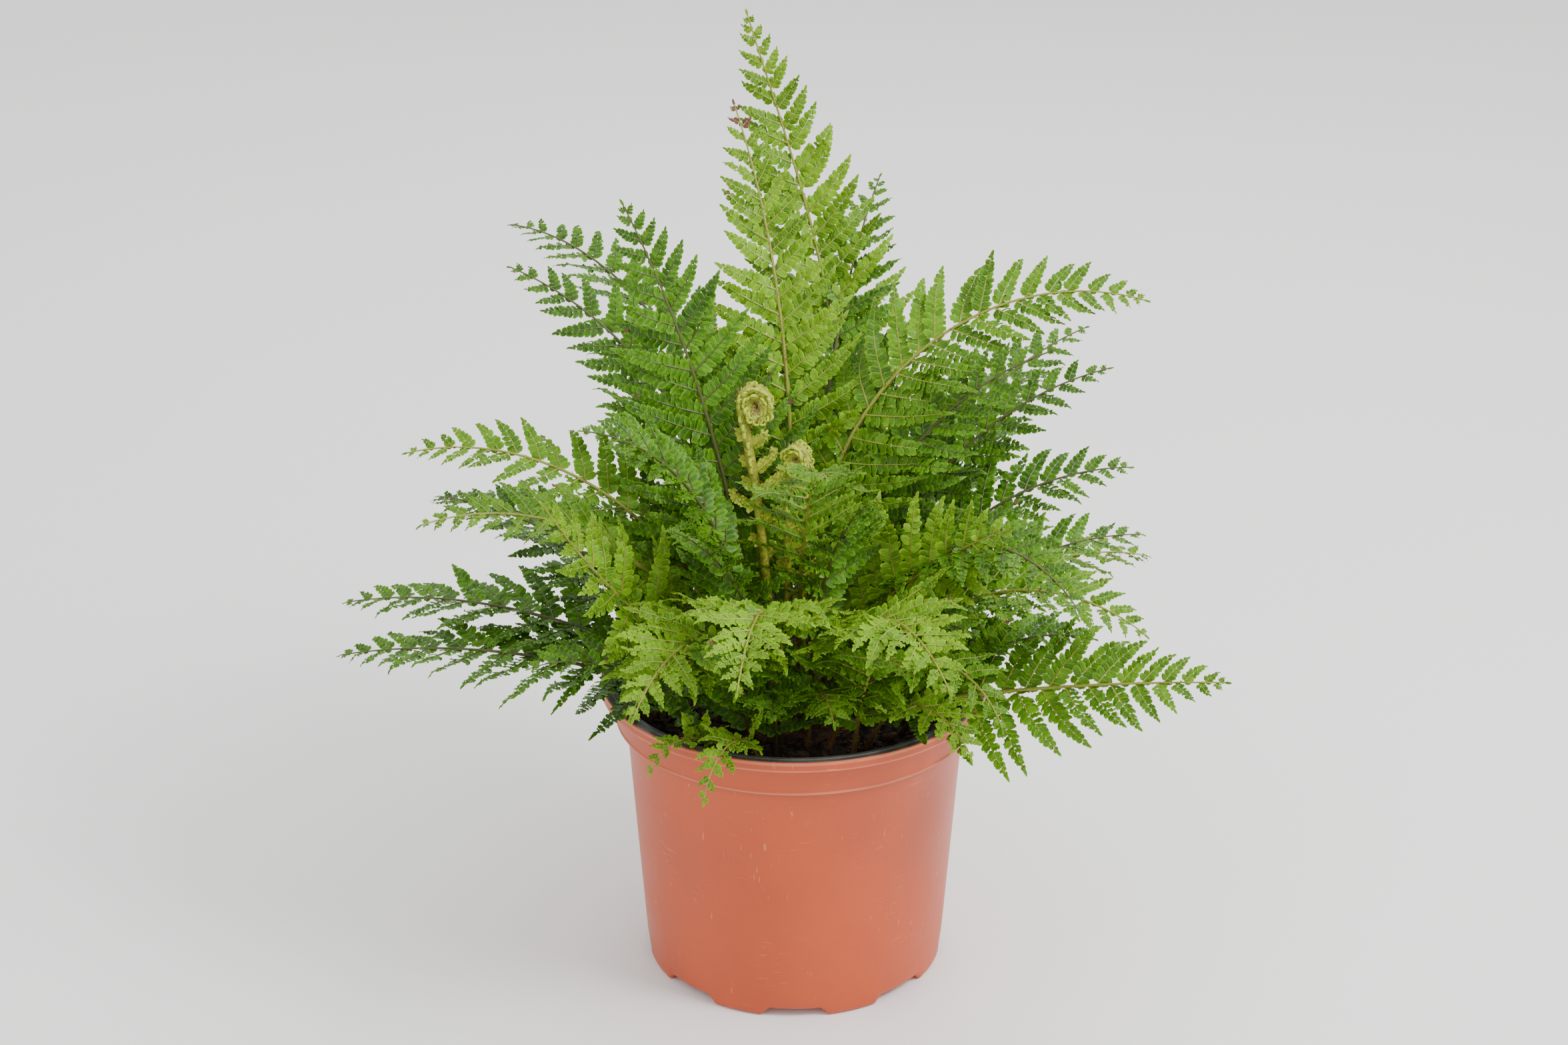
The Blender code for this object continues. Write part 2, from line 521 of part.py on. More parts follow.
def build_frond(frond, frame, others, own):
    """One frond: a tapering square stalk whose side faces carry the pinnae. others are the trees of
    every other piece; own collects this frond's pinnae."""
    rings = frame[5]
    points = list(rings.reshape(-1, 3))
    faces = tube_faces(len(rings), 4)
    sides = {1: (1, 2), -1: (0, 3)}  # a ring's lower and upper corner on each hand
    for pair in range(frond.pairs):
        station = STALK_RINGS + 2 * pair
        for hand, (low, high) in sides.items():
            here, ahead = station * 4, (station + 1) * 4
            base = [here + low, ahead + low, ahead + high, here + high]
            base_points = np.array([points[k] for k in base])
            found = find_room(frond, base_points, hand, station, frame, others + own)
            if found is None:
                continue
            mid, tip, shell = found
            own.append(shell)
            first = len(points)
            points += [*mid, tip]
            faces = [f for f in faces if set(f) != set(base)]
            faces += pinna_faces(base, range(first, first + 4), first + 4)
    return add_object(frond.name, np.array(points), faces, HUES[frond.hue], 0.55, 60.0)


def crozier_rings(crozier):
    """Rings of a crozier: up the stem, then round a coil whose radius shrinks with each turn."""
    start = foot_point(crozier.foot_angle, crozier.foot, crozier.radius)
    shares = np.linspace(0.0, 1.0, CROZIER_STEM_RINGS)
    bend = (crozier.bearing, crozier.lean, crozier.arch, 0.0, crozier.length)
    stem, way = stem_curve(start, *bend, shares)
    turn = np.radians(crozier.plane)
    across = np.array([np.cos(turn), np.sin(turn), 0.0])
    square_on = np.cross(across, [0.0, 0.0, 1.0])
    along = unit(way[-1] - (way[-1] @ square_on) * square_on)
    outward = unit(across - (across @ along) * along)
    wind = np.linspace(0.0, 1.0, COIL_STEPS + 1)[1:]
    swing = wind * crozier.turns * 2 * np.pi
    shrink = crozier.coil * (1.0 - COIL_SHRINK * wind) * MM
    centre = stem[-1] + outward * crozier.coil * MM
    across_coil = outward * (shrink * np.cos(swing))[:, None]
    coil = centre - across_coil + along * (shrink * np.sin(swing))[:, None]
    path = np.concatenate([stem, coil])
    stem_taper = 1.0 + (CROZIER_TOP_SHARE - 1.0) * shares
    coil_taper = CROZIER_TOP_SHARE + (CROZIER_END_SHARE - CROZIER_TOP_SHARE) * wind
    radius = np.concatenate([stem_taper, coil_taper]) * crozier.radius * MM
    heading = unit(np.gradient(path, axis=0))
    flat = np.cross(outward, along)
    first = unit(flat - (heading @ flat)[:, None] * heading)
    second = np.cross(heading, first)
    spin = np.arange(CROZIER_SIDES) * 2 * np.pi / CROZIER_SIDES
    ring = first[:, None] * np.cos(spin)[:, None] + second[:, None] * np.sin(spin)[:, None]
    return path[:, None] + radius[:, None, None] * ring


def main():
    for old in list(bpy.data.objects):
        bpy.data.objects.remove(old)
    solids = [build_pot(), build_soil(), build_crown()]
    trees = []
    for solid in solids:
        mesh = solid.data
        trees.append(tree_of([v.co for v in mesh.vertices], [p.vertices for p in mesh.polygons]))
    for crozier in CROZIERS:
        rings = crozier_rings(crozier)
        points = rings.reshape(-1, 3)
        faces = tube_faces(len(rings), CROZIER_SIDES)
        add_object(crozier.name, points, faces, CROZIER_GOLD, 0.6, 60.0)
        trees.append(tree_of(points, faces))
    frames = [frond_rings(frond) for frond in FRONDS]
    stalks = [tree_of(frame[5].reshape(-1, 3), tube_faces(len(frame[5]), 4)) for frame in frames]
    blades = []
    for number, frond in enumerate(FRONDS):
        own = []
        others = trees + stalks[:number] + stalks[number + 1 :] + blades
        build_frond(frond, frames[number], others, own)
        blades += own


main()
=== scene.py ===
# %% [markdown]
# # A fern in a nursery pot
#
# A young fern stands in a thin two-colour nursery pot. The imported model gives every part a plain
# solid in its true place. This script gives each part its looks, and keeps every size.
#
# The leaves are the main work. A fern's leaf is a frond: one curved stalk, with side leaflets called
# pinnae, which are cut again into small toothed lobes called pinnules. That is one shape repeated at
# two scales, so it is worked out with arrays of numbers instead of being modelled by hand.

from collections import namedtuple

import bmesh
import bpy
import numpy as np
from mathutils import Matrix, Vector


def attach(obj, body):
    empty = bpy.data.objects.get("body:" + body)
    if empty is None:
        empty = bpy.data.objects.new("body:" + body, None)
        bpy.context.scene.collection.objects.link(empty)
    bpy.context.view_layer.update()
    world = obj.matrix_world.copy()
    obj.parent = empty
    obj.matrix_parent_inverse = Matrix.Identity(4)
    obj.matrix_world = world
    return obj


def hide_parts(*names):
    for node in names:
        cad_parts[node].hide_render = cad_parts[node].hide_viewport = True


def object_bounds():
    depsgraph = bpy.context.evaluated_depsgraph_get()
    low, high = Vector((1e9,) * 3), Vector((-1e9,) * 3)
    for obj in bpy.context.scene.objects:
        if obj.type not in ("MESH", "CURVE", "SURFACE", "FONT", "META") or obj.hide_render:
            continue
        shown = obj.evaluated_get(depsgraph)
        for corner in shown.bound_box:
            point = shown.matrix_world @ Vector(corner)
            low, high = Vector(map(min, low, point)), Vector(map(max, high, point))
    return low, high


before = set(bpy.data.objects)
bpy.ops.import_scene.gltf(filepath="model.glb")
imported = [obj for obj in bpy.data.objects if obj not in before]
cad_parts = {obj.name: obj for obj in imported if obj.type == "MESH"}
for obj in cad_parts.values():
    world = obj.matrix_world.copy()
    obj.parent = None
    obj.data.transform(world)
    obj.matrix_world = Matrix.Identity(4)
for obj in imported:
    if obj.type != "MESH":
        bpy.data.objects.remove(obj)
cad_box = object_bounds()

MM = 0.001
BODY = "root"
box_text = [tuple(round(c, 4) for c in corner) for corner in cad_box]
print("nodes:", len(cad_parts), "box:", box_text)

# %% [markdown]
# ## From arrays to meshes
#
# Nearly every piece here is a loft: rings of points carried along a path, with a face between each
# point and the next, and a cap on each end so that the body is closed. A frond holds hundreds of
# lofts of the same kind, so one function takes them all at once, as an array with one row for each
# loft. Blender then gets the whole mesh through foreach_set, which is quick.
#
# Each face also gets a place in a flat map named OFBake, onto which a pattern that is worked out by
# nodes can be painted. The two sides of a leaf share their place.


# %% Lofts
BLADE_ACROSS = (0, 0.5, 1, 0.5, 0)  # map places of a blade's left edge, top, right edge and underside


def unit(vectors):
    """Vectors scaled to length 1 along their last axis."""
    return vectors / np.linalg.norm(vectors, axis=-1, keepdims=True)


def volume(points, faces):
    """Signed volume inside faces: the sum of the pyramids from the origin to each face, cut into
    triangles from its first corner."""
    first = points[faces[:, 0]]
    total = 0.0
    for k in range(1, faces.shape[1] - 1):
        total += np.einsum("ij,ij->", first, np.cross(points[faces[:, k]], points[faces[:, k + 1]]))
    return total / 6.0


def facing_out(made):
    """The same lofts with every face turned over if the volume they enclose comes out negative."""
    if volume(made["points"], made["walls"]) + volume(made["points"], made["caps"]) < 0:
        for key in ("walls", "caps", "wall_map", "cap_map"):
            made[key] = made[key][:, ::-1]
    return made


def loft(rings, across, cells):
    """Many closed lofts. rings has the shape (lofts, stations, sides, 3); across is each corner's
    place across the map from 0 to 1, with sides + 1 values; cells is each loft's rectangle in the
    map, as left, bottom, width and height. Gives points, faces and each face corner's map place,
    with every face turned outwards."""
    lofts, stations, sides = rings.shape[:3]
    points = rings.reshape(-1, 3)
    one = np.arange(stations * sides).reshape(stations, sides)
    ahead = np.roll(one, -1, axis=1)
    walls = np.stack([one[:-1], ahead[:-1], ahead[1:], one[1:]], axis=-1).reshape(-1, 4)
    caps = np.stack([one[0][::-1], one[-1]])
    left, right = np.array(across[:-1]), np.array(across[1:])
    low, high = np.arange(stations - 1) / (stations - 1), np.arange(1, stations) / (stations - 1)
    wall_map = np.zeros((stations - 1, sides, 4, 2))
    wall_map[..., 0] = np.stack([left, right, right, left], axis=-1)
    wall_map[..., 1] = np.stack([low, low, high, high], axis=-1)[:, None]
    cap_map = np.zeros((2, sides, 2))
    cap_map[0] = np.stack([left[::-1], np.zeros(sides)], axis=-1)
    cap_map[1] = np.stack([left, np.ones(sides)], axis=-1)
    shift = (np.arange(lofts) * stations * sides)[:, None, None]
    corner, size = cells[:, None, None, :2], cells[:, None, None, 2:]
    made = {
        "points": points,
        "walls": (walls[None] + shift).reshape(-1, 4),
        "caps": (caps[None] + shift).reshape(-1, sides),
        "wall_map": (wall_map.reshape(1, -1, 4, 2) * size + corner).reshape(-1, 4, 2),
        "cap_map": (cap_map.reshape(1, -1, sides, 2) * size + corner).reshape(-1, sides, 2),
    }
    return facing_out(made)


def build_piece(name, parts, materials, sharp=50.0):
    """One object from several sets of lofts. parts is [(lofts, material number or one for each wall
    face, {attribute: values for each point})]. Edges sharper than sharp degrees stay crisp."""
    points, corners, starts, kinds, maps = [], [], [], [], []
    attributes = {key: [] for part in parts for key in part[2]}
    first_point, first_corner = 0, 0
    for made, kind, values in parts:
        wall_kinds = np.broadcast_to(kind, len(made["walls"]))
        cap_kinds = np.resize(wall_kinds[[0, -1]], len(made["caps"]))
        walls = (made["walls"], made["wall_map"], wall_kinds)
        caps = (made["caps"], made["cap_map"], cap_kinds)
        for faces, places, numbers in (walls, caps):
            count, size = faces.shape
            corners.append(faces.ravel() + first_point)
            starts.append(first_corner + np.arange(count) * size)
            kinds.append(numbers)
            maps.append(places.reshape(-1, 2))
            first_corner += faces.size
        for key, lists in attributes.items():
            lists.append(values.get(key, np.zeros((len(made["points"]), 3))))
        points.append(made["points"])
        first_point += len(made["points"])
    mesh = bpy.data.meshes.new(name)
    mesh.vertices.add(first_point)
    mesh.vertices.foreach_set("co", np.concatenate(points).ravel())
    mesh.loops.add(first_corner)
    mesh.loops.foreach_set("vertex_index", np.concatenate(corners))
    mesh.polygons.add(len(np.concatenate(starts)))
    mesh.polygons.foreach_set("loop_start", np.concatenate(starts))
    mesh.polygons.foreach_set("material_index", np.concatenate(kinds))
    mesh.uv_layers.new(name="OFBake").data.foreach_set("uv", np.concatenate(maps).ravel())
    for key, lists in attributes.items():
        layer = mesh.attributes.new(key, "FLOAT_VECTOR", "POINT")
        layer.data.foreach_set("vector", np.concatenate(lists).ravel())
    mesh.update(calc_edges=True)
    mesh.validate()
    mesh.shade_smooth()
    mesh.set_sharp_from_angle(angle=np.radians(sharp))
    for item in materials:
        mesh.materials.append(item)
    piece = bpy.data.objects.new(name, mesh)
    bpy.context.scene.collection.objects.link(piece)
    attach(piece, BODY)
    return piece


def triangles(piece):
    """How many triangles the piece's faces cut into."""
    return sum(len(face.vertices) - 2 for face in piece.data.polygons)


# %% [markdown]
# ## Finishes from nodes
#
# Each finish is a small node tree that ends in one Principled BSDF. The helper below adds nodes
# and links them, so that a finish reads as a few short lines. Patterns follow the Object coordinates
# in metres, so a noise scale of 100 has features about 10 mm wide.


# %% Node helpers
class Finish:
    """A material whose node tree is built one line at a time."""

    def __init__(self, name, roughness=0.5):
        self.material = bpy.data.materials.new(name)
        self.material.use_nodes = True
        self.tree = self.material.node_tree
        self.shader = self.tree.nodes["Principled BSDF"]
        self.shader.inputs["Roughness"].default_value = roughness
        self.place = self.add("ShaderNodeTexCoord").outputs["Object"]

    def add(self, kind, **settings):
        """A new node with these settings."""
        node = self.tree.nodes.new(kind)
        for key, value in settings.items():
            setattr(node, key, value)
        return node

    def put(self, socket, value):
        """Links an output to the socket, or sets the socket to a plain value."""
        if isinstance(value, bpy.types.NodeSocket):
            self.tree.links.new(value, socket)
        else:
            socket.default_value = value

    def math(self, operation, first, second=0.0):
        """One Math node."""
        node = self.add("ShaderNodeMath", operation=operation)
        self.put(node.inputs[0], first)
        self.put(node.inputs[1], second)
        return node.outputs[0]

    def noise(self, scale, detail=3.0, stretch=None, roughness=0.5, seed=0.0):
        """Noise from 0 to 1 in Object coordinates, stretched or shifted if asked."""
        node = self.add("ShaderNodeTexNoise")
        node.inputs["Scale"].default_value = scale
        node.inputs["Detail"].default_value = detail
        node.inputs["Roughness"].default_value = roughness
        place = self.place
        if stretch is not None or seed:
            mapping = self.add("ShaderNodeMapping")
            mapping.inputs["Scale"].default_value = stretch or (1.0, 1.0, 1.0)
            mapping.inputs["Location"].default_value = (seed, seed, seed)
            self.put(mapping.inputs["Vector"], place)
            place = mapping.outputs["Vector"]
        self.put(node.inputs["Vector"], place)
        return node.outputs["Fac"]

    def steps(self, value, low, high):
        """A smooth step in the value: low becomes 0 and high becomes 1."""
        node = self.add("ShaderNodeMapRange")
        node.interpolation_type = "SMOOTHSTEP"
        node.inputs["From Min"].default_value = low
        node.inputs["From Max"].default_value = high
        self.put(node.inputs["Value"], value)
        return node.outputs["Result"]

    def steps_to(self, value, low, high):
        """A value of 0 to 1 spread between low and high."""
        node = self.add("ShaderNodeMapRange")
        node.inputs["To Min"].default_value = low
        node.inputs["To Max"].default_value = high
        self.put(node.inputs["Value"], value)
        return node.outputs["Result"]

    def mix(self, share, first, second):
        """One colour mixed into another."""
        node = self.add("ShaderNodeMix", data_type="RGBA")
        self.put(node.inputs["Factor"], share)
        self.put(node.inputs["A"], first)
        self.put(node.inputs["B"], second)
        return node.outputs["Result"]

    def over(self, colour, mask, amount, tint):
        """A tint laid over a colour: none where the mask is 0, and this amount where it is 1."""
        return self.mix(self.math("MULTIPLY", mask, amount), colour, tint)

    def attribute(self, name):
        """The three numbers of a piece's own attribute."""
        node = self.add("ShaderNodeAttribute", attribute_name=name)
        split = self.add("ShaderNodeSeparateXYZ")
        self.put(split.inputs[0], node.outputs["Vector"])
        return split.outputs[0], split.outputs[1], split.outputs[2]

    def height(self):
        """Height above the object's origin, in metres."""
        split = self.add("ShaderNodeSeparateXYZ")
        self.put(split.inputs[0], self.place)
        return split.outputs[2]

    def bump(self, height, strength, distance):
        """Relief on the shader's normal; distance in metres."""
        node = self.add("ShaderNodeBump")
        node.inputs["Strength"].default_value = strength
        node.inputs["Distance"].default_value = distance
        self.put(node.inputs["Height"], height)
        old = self.shader.inputs["Normal"].links
        if old:
            self.put(node.inputs["Normal"], old[0].from_socket)
        self.put(self.shader.inputs["Normal"], node.outputs["Normal"])

    def colour(self, value):
        """The shader's colour."""
        self.put(self.shader.inputs["Base Color"], value)

    def rough(self, value):
        """The shader's roughness."""
        self.put(self.shader.inputs["Roughness"], value)


def rgb(red, green, blue):
    """A colour from linear shares of red, green and blue."""
    return (red, green, blue, 1.0)


# %% [markdown]
# ## The pot
#
# The pot is one thin sheet of plastic, orange outside and black inside. Its wall runs up from the
# floor, steps out to a collar, folds outwards into a flat flange and turns down into a lip. A shape
# like that is an outline turned round the axis, so the outline is a short list of radius and height
# pairs, in millimetres. The third number is how far the drainage channels under the floor raise
# that point: 1 for a point that rises with them, 0 for one that doesn't.

# %% Pot sizes
POT_HEIGHT = 150.0
RIM_RADIUS = 95.0
LIP_DROP = 5.0
COLLAR_RADIUS = 88.6
COLLAR_BOTTOM = 129.0
BODY_TOP_RADIUS = 83.0
BASE_RADIUS = 74.0
WALL = 1.2
FLANGE_STEP = 0.5
CHANNELS = 8
CHANNEL_HEIGHT = 4.0
CHANNEL_INNER_RADIUS = 42.0
CHANNEL_FULL_RADIUS = 50.0
SLOT_OUTER_RADIUS = 60.0
SECTORS_PER_CHANNEL = 28
CHANNEL_SLOPE = (10.4, 12.4)  # degrees from a channel's middle where its side starts and ends
OUTSIDE, INSIDE = 0, 1

POT_OUTLINE = [
    (0.4, 0.0, 0.0),
    (CHANNEL_INNER_RADIUS, 0.0, 0.0),
    (CHANNEL_INNER_RADIUS + 1.0, 0.05, 0.1),
    (CHANNEL_FULL_RADIUS - 1.0, 0.0, 0.94),
    (CHANNEL_FULL_RADIUS, 0.0, 1.0),
    (SLOT_OUTER_RADIUS, 0.0, 1.0),
    (BASE_RADIUS - 2.4, 0.0, 1.0),
    (BASE_RADIUS - 1.5, 0.15, 1.0),
    (BASE_RADIUS - 0.8, 0.55, 1.0),
    (BASE_RADIUS - 0.3, 1.2, 1.0),
    (BASE_RADIUS, 2.2, 1.0),
    (BASE_RADIUS + 0.35, 7.0, 0.5),
    (BASE_RADIUS + 0.75, 12.0, 0.0),
    (BASE_RADIUS + 2.9, 42.0, 0.0),
    (BASE_RADIUS + 5.0, 72.0, 0.0),
    (BASE_RADIUS + 7.1, 102.0, 0.0),
    (BODY_TOP_RADIUS - 0.1, COLLAR_BOTTOM - 1.6, 0.0),
    (BODY_TOP_RADIUS + 0.3, COLLAR_BOTTOM - 0.5, 0.0),
    (BODY_TOP_RADIUS + 1.0, COLLAR_BOTTOM, 0.0),
    (COLLAR_RADIUS - 2.0, COLLAR_BOTTOM + 0.25, 0.0),
    (COLLAR_RADIUS - 0.8, COLLAR_BOTTOM + 0.5, 0.0),
    (COLLAR_RADIUS - 0.45, COLLAR_BOTTOM + 0.9, 0.0),
    (COLLAR_RADIUS - 0.55, COLLAR_BOTTOM + 1.3, 0.0),
    (COLLAR_RADIUS - 1.0, COLLAR_BOTTOM + 1.7, 0.0),
    (COLLAR_RADIUS - 0.5, COLLAR_BOTTOM + 10.0, 0.0),
    (COLLAR_RADIUS, POT_HEIGHT - 2.4, 0.0),
    (COLLAR_RADIUS + 0.2, POT_HEIGHT - 1.9, 0.0),
    (COLLAR_RADIUS + 0.8, POT_HEIGHT - 1.7, 0.0),
    (RIM_RADIUS - WALL - 0.5, POT_HEIGHT - 1.7, 0.0),
    (RIM_RADIUS - WALL, POT_HEIGHT - 2.1, 0.0),
    (RIM_RADIUS - WALL, POT_HEIGHT - LIP_DROP + 0.3, 0.0),
    (RIM_RADIUS - WALL + 0.3, POT_HEIGHT - LIP_DROP, 0.0),
    (RIM_RADIUS - 0.3, POT_HEIGHT - LIP_DROP, 0.0),
    (RIM_RADIUS, POT_HEIGHT - LIP_DROP + 0.3, 0.0),
    (RIM_RADIUS, POT_HEIGHT - 0.9, 0.0),
    (RIM_RADIUS - 0.12, POT_HEIGHT - 0.4, 0.0),
    (RIM_RADIUS - 0.4, POT_HEIGHT - 0.1, 0.0),
    (RIM_RADIUS - 0.9, POT_HEIGHT, 0.0),
    (RIM_RADIUS - 2.1, POT_HEIGHT, 0.0),
    (RIM_RADIUS - 2.5, POT_HEIGHT - FLANGE_STEP, 0.0),
    (RIM_RADIUS - 3.9, POT_HEIGHT - FLANGE_STEP, 0.0),
    (RIM_RADIUS - 4.2, POT_HEIGHT - 0.1, 0.0),
    (RIM_RADIUS - 5.4, POT_HEIGHT - 0.1, 0.0),
    (RIM_RADIUS - 5.8, POT_HEIGHT - FLANGE_STEP - 0.2, 0.0),
    (COLLAR_RADIUS - 0.4, POT_HEIGHT - FLANGE_STEP - 0.2, 0.0),
    (COLLAR_RADIUS - 1.0, POT_HEIGHT - 0.9, 0.0),
    (COLLAR_RADIUS - 1.3, POT_HEIGHT - 1.6, 0.0),
    (COLLAR_RADIUS - 1.7, COLLAR_BOTTOM + 10.0, 0.0),
    (COLLAR_RADIUS - 2.3, COLLAR_BOTTOM + 2.4, 0.0),
    (COLLAR_RADIUS - 2.9, COLLAR_BOTTOM + 1.8, 0.0),
    (BODY_TOP_RADIUS - WALL + 0.5, COLLAR_BOTTOM + 1.5, 0.0),
    (BODY_TOP_RADIUS - WALL, COLLAR_BOTTOM + 0.9, 0.0),
    (BASE_RADIUS - WALL, 2.8, 1.0),
    (BASE_RADIUS - 2.6, WALL, 1.0),
    (SLOT_OUTER_RADIUS, WALL, 1.0),
    (CHANNEL_FULL_RADIUS, WALL, 1.0),
    (CHANNEL_FULL_RADIUS - 1.0, WALL, 0.94),
    (CHANNEL_INNER_RADIUS + 1.0, WALL, 0.1),
    (CHANNEL_INNER_RADIUS, WALL, 0.0),
    (0.4, WALL, 0.0),
]


# %% The pot's shape
def smooth(value, low, high):
    """0 below low, 1 above high, and a smooth S between them."""
    share = np.clip((value - low) / (high - low), 0.0, 1.0)
    return share * share * (3.0 - 2.0 * share)


def turned(outline, angles, raised):
    """Rings of a turned shape: x = r cos a, y = r sin a, z = height + rise * raised(a), in metres."""
    radius, height, rise = (np.array(column)[:, None] for column in zip(*outline))
    high = height + rise * CHANNEL_HEIGHT * raised[None, :]
    return np.stack([radius * np.cos(angles), radius * np.sin(angles), high], axis=-1) * MM


def channel_angles():
    """Angles round the pot, and how far each one is inside a drainage channel, from 0 to 1."""
    count = CHANNELS * SECTORS_PER_CHANNEL
    angles = np.arange(count) * 2 * np.pi / count
    share = 360.0 / CHANNELS
    offset = (np.degrees(angles) + share / 2) % share - share / 2
    return angles, 1.0 - smooth(np.abs(offset), *CHANNEL_SLOPE)


def map_cell(left, bottom, width, height):
    """One rectangle of the bake map, as an array with one row."""
    return np.array([[left, bottom, width, height]])


angles, raised = channel_angles()
pot_rings = turned(POT_OUTLINE, angles, raised)
# The black sheet starts on the first ring at the full height, where the lip's edge turns flat.
black_start = next(i for i, (r, z, up) in enumerate(POT_OUTLINE) if z == POT_HEIGHT)
around = np.linspace(0.0, 1.0, len(angles) + 1)
pot_loft = loft(pot_rings[None], around, map_cell(0.0, 0.0, 1.0, 1.0))
print("pot rings:", len(pot_rings), "sectors:", len(angles), "black from ring", black_start)


# %% [markdown]
# The floor has eight slots for water, one in each channel. A slot is made by leaving out the same
# few faces above and below the floor, and joining the two edges with small walls.


# %% Drainage slots and the finished pot mesh
def cut_slots(made, under, over, sectors, slot_sectors):
    """Leaves out the faces after ring under and ring over at these sectors, and walls each hole."""
    ring = np.arange(len(made["walls"])) // sectors
    sector = np.arange(len(made["walls"])) % sectors
    gone = np.isin(ring, (under, over)) & np.isin(sector, slot_sectors)
    starts = slot_sectors[~np.isin(slot_sectors - 1, slot_sectors)]
    ends = slot_sectors[~np.isin(slot_sectors + 1, slot_sectors)] + 1
    new = []
    for ring_below, ring_above in ((under, over + 1), (under + 1, over)):
        for j in slot_sectors:
            k = (j + 1) % sectors
            low, high = ring_below * sectors, ring_above * sectors
            face = [low + k, low + j, high + j, high + k]
            new.append(face if ring_below == under else face[::-1])
    rings = np.array([under, under + 1, over, over + 1]) * sectors
    for j in starts:
        new.append(list(rings + j))
    for j in ends:
        new.append(list(rings[[1, 0, 3, 2]] + j % sectors))
    made["walls"] = np.concatenate([made["walls"][~gone], np.array(new)])
    made["wall_map"] = np.concatenate([made["wall_map"][~gone], np.zeros((len(new), 4, 2))])
    return ring[~gone], len(new)


SLOT_HALF = 2  # sectors on each side of a channel's middle
middles = np.arange(CHANNELS) * SECTORS_PER_CHANNEL
near_middle = range(-SLOT_HALF, SLOT_HALF)
slot_sectors = np.sort(np.concatenate([(middles + k) % len(angles) for k in near_middle]))
slot_under = next(i for i, (r, z, up) in enumerate(POT_OUTLINE) if r == CHANNEL_FULL_RADIUS)
slot_over = max(i for i, (r, z, up) in enumerate(POT_OUTLINE) if r == SLOT_OUTER_RADIUS)
wall_ring, wall_count = cut_slots(pot_loft, slot_under, slot_over, len(angles), slot_sectors)
sheet = np.where(wall_ring >= black_start, INSIDE, OUTSIDE)
pot_kinds = np.concatenate([sheet, np.full(wall_count, INSIDE)])
print("slots:", CHANNELS, "faces:", len(pot_loft["walls"]))


# %% [markdown]
# ### The pot's finish
#
# Formed plastic sheet is nearly one colour, so it looks real through small things: a faint mottle,
# hairline scratches, edges scuffed pale with a painted highlight along them, a painted shadow under
# the collar, a trace of soil dust, and a gloss that varies. Scratches are noise stretched a long
# way, with all but its peaks cut off.


# %% Pot finishes
def scratches(finish, scale, stretch, share, seed):
    """Thin lines, 0 to 1: the top share of a noise that is stretched by stretch."""
    lines = finish.noise(scale, detail=2.0, stretch=stretch, seed=seed)
    patches = finish.steps(finish.noise(38.0, detail=2.0, seed=seed + 3.0), 0.48, 0.66)
    return finish.math("MULTIPLY", finish.steps(lines, share, share + 0.03), patches)


def orange_plastic():
    """Terracotta-coloured plastic: a mottle, hairline scratches, edges scuffed pale with painted
    highlights, a painted shadow under the collar and a trace of soil dust."""
    finish = Finish("orange_plastic", roughness=0.42)
    mottle = finish.steps(finish.noise(16.0, detail=5.0, roughness=0.6), 0.3, 0.7)
    colour = finish.mix(mottle, rgb(0.430, 0.054, 0.007), rgb(0.490, 0.068, 0.011))
    fine = finish.noise(900.0, detail=2.0)
    colour = finish.over(colour, fine, 0.16, rgb(0.31, 0.043, 0.008))
    along = scratches(finish, 90.0, (1.0, 1.0, 14.0), 0.66, 2.0)
    slant = scratches(finish, 70.0, (9.0, 1.0, 2.0), 0.68, 7.0)
    worn = finish.math("MAXIMUM", along, slant)
    colour = finish.over(colour, worn, 0.35, rgb(0.72, 0.25, 0.12))
    height = finish.height()
    # Pale lines at the collar's foot, the lip and the rim: partly scuffed wear, partly a painted
    # highlight.
    for edge in (COLLAR_BOTTOM + 1.0, POT_HEIGHT - LIP_DROP + 0.2, POT_HEIGHT - 0.8):
        near = finish.math("ABSOLUTE", finish.math("SUBTRACT", height, edge * MM))
        line, patches = finish.steps(near, 0.0011, 0.0003), finish.steps(mottle, -0.6, 0.8)
        wear_and_highlight = finish.math("MULTIPLY", line, patches)
        colour = finish.over(colour, wear_and_highlight, 0.42, rgb(0.74, 0.30, 0.17))
    # Painted shadow: the body just under the collar's overhang is darkened, fading out over 6 mm
    # downwards.
    below = finish.math("SUBTRACT", (COLLAR_BOTTOM - 0.2) * MM, height)
    fall, edge = finish.steps(below, 0.0060, 0.0), finish.steps(below, -0.0004, 0.0002)
    collar_shadow = finish.math("MULTIPLY", fall, edge)
    colour = finish.over(colour, collar_shadow, 0.5, rgb(0.27, 0.036, 0.008))
    dust = finish.steps(finish.noise(60.0, detail=6.0, roughness=0.7, seed=4.0), 0.60, 0.78)
    finish.colour(finish.over(colour, dust, 0.14, rgb(0.30, 0.17, 0.10)))
    finish.rough(finish.steps_to(mottle, 0.36, 0.50))
    finish.bump(fine, 0.08, 0.0002)
    finish.bump(worn, 0.15, 0.0001)
    return finish.material


def black_plastic():
    """The inner sheet: black plastic, grey with scuffs and brown with dried soil."""
    finish = Finish("black_plastic", roughness=0.45)
    mottle = finish.noise(45.0, detail=6.0, roughness=0.65)
    share = finish.steps(mottle, 0.35, 0.7)
    colour = finish.mix(share, rgb(0.050, 0.048, 0.046), rgb(0.105, 0.100, 0.095))
    scuff = scratches(finish, 120.0, (5.0, 1.0, 1.0), 0.60, 5.0)
    colour = finish.over(colour, scuff, 0.5, rgb(0.26, 0.25, 0.24))
    soil = finish.steps(finish.noise(150.0, detail=5.0, roughness=0.75, seed=9.0), 0.58, 0.72)
    finish.colour(finish.over(colour, soil, 0.7, rgb(0.10, 0.062, 0.036)))
    finish.rough(finish.steps_to(mottle, 0.34, 0.60))
    finish.bump(soil, 0.4, 0.0004)
    return finish.material


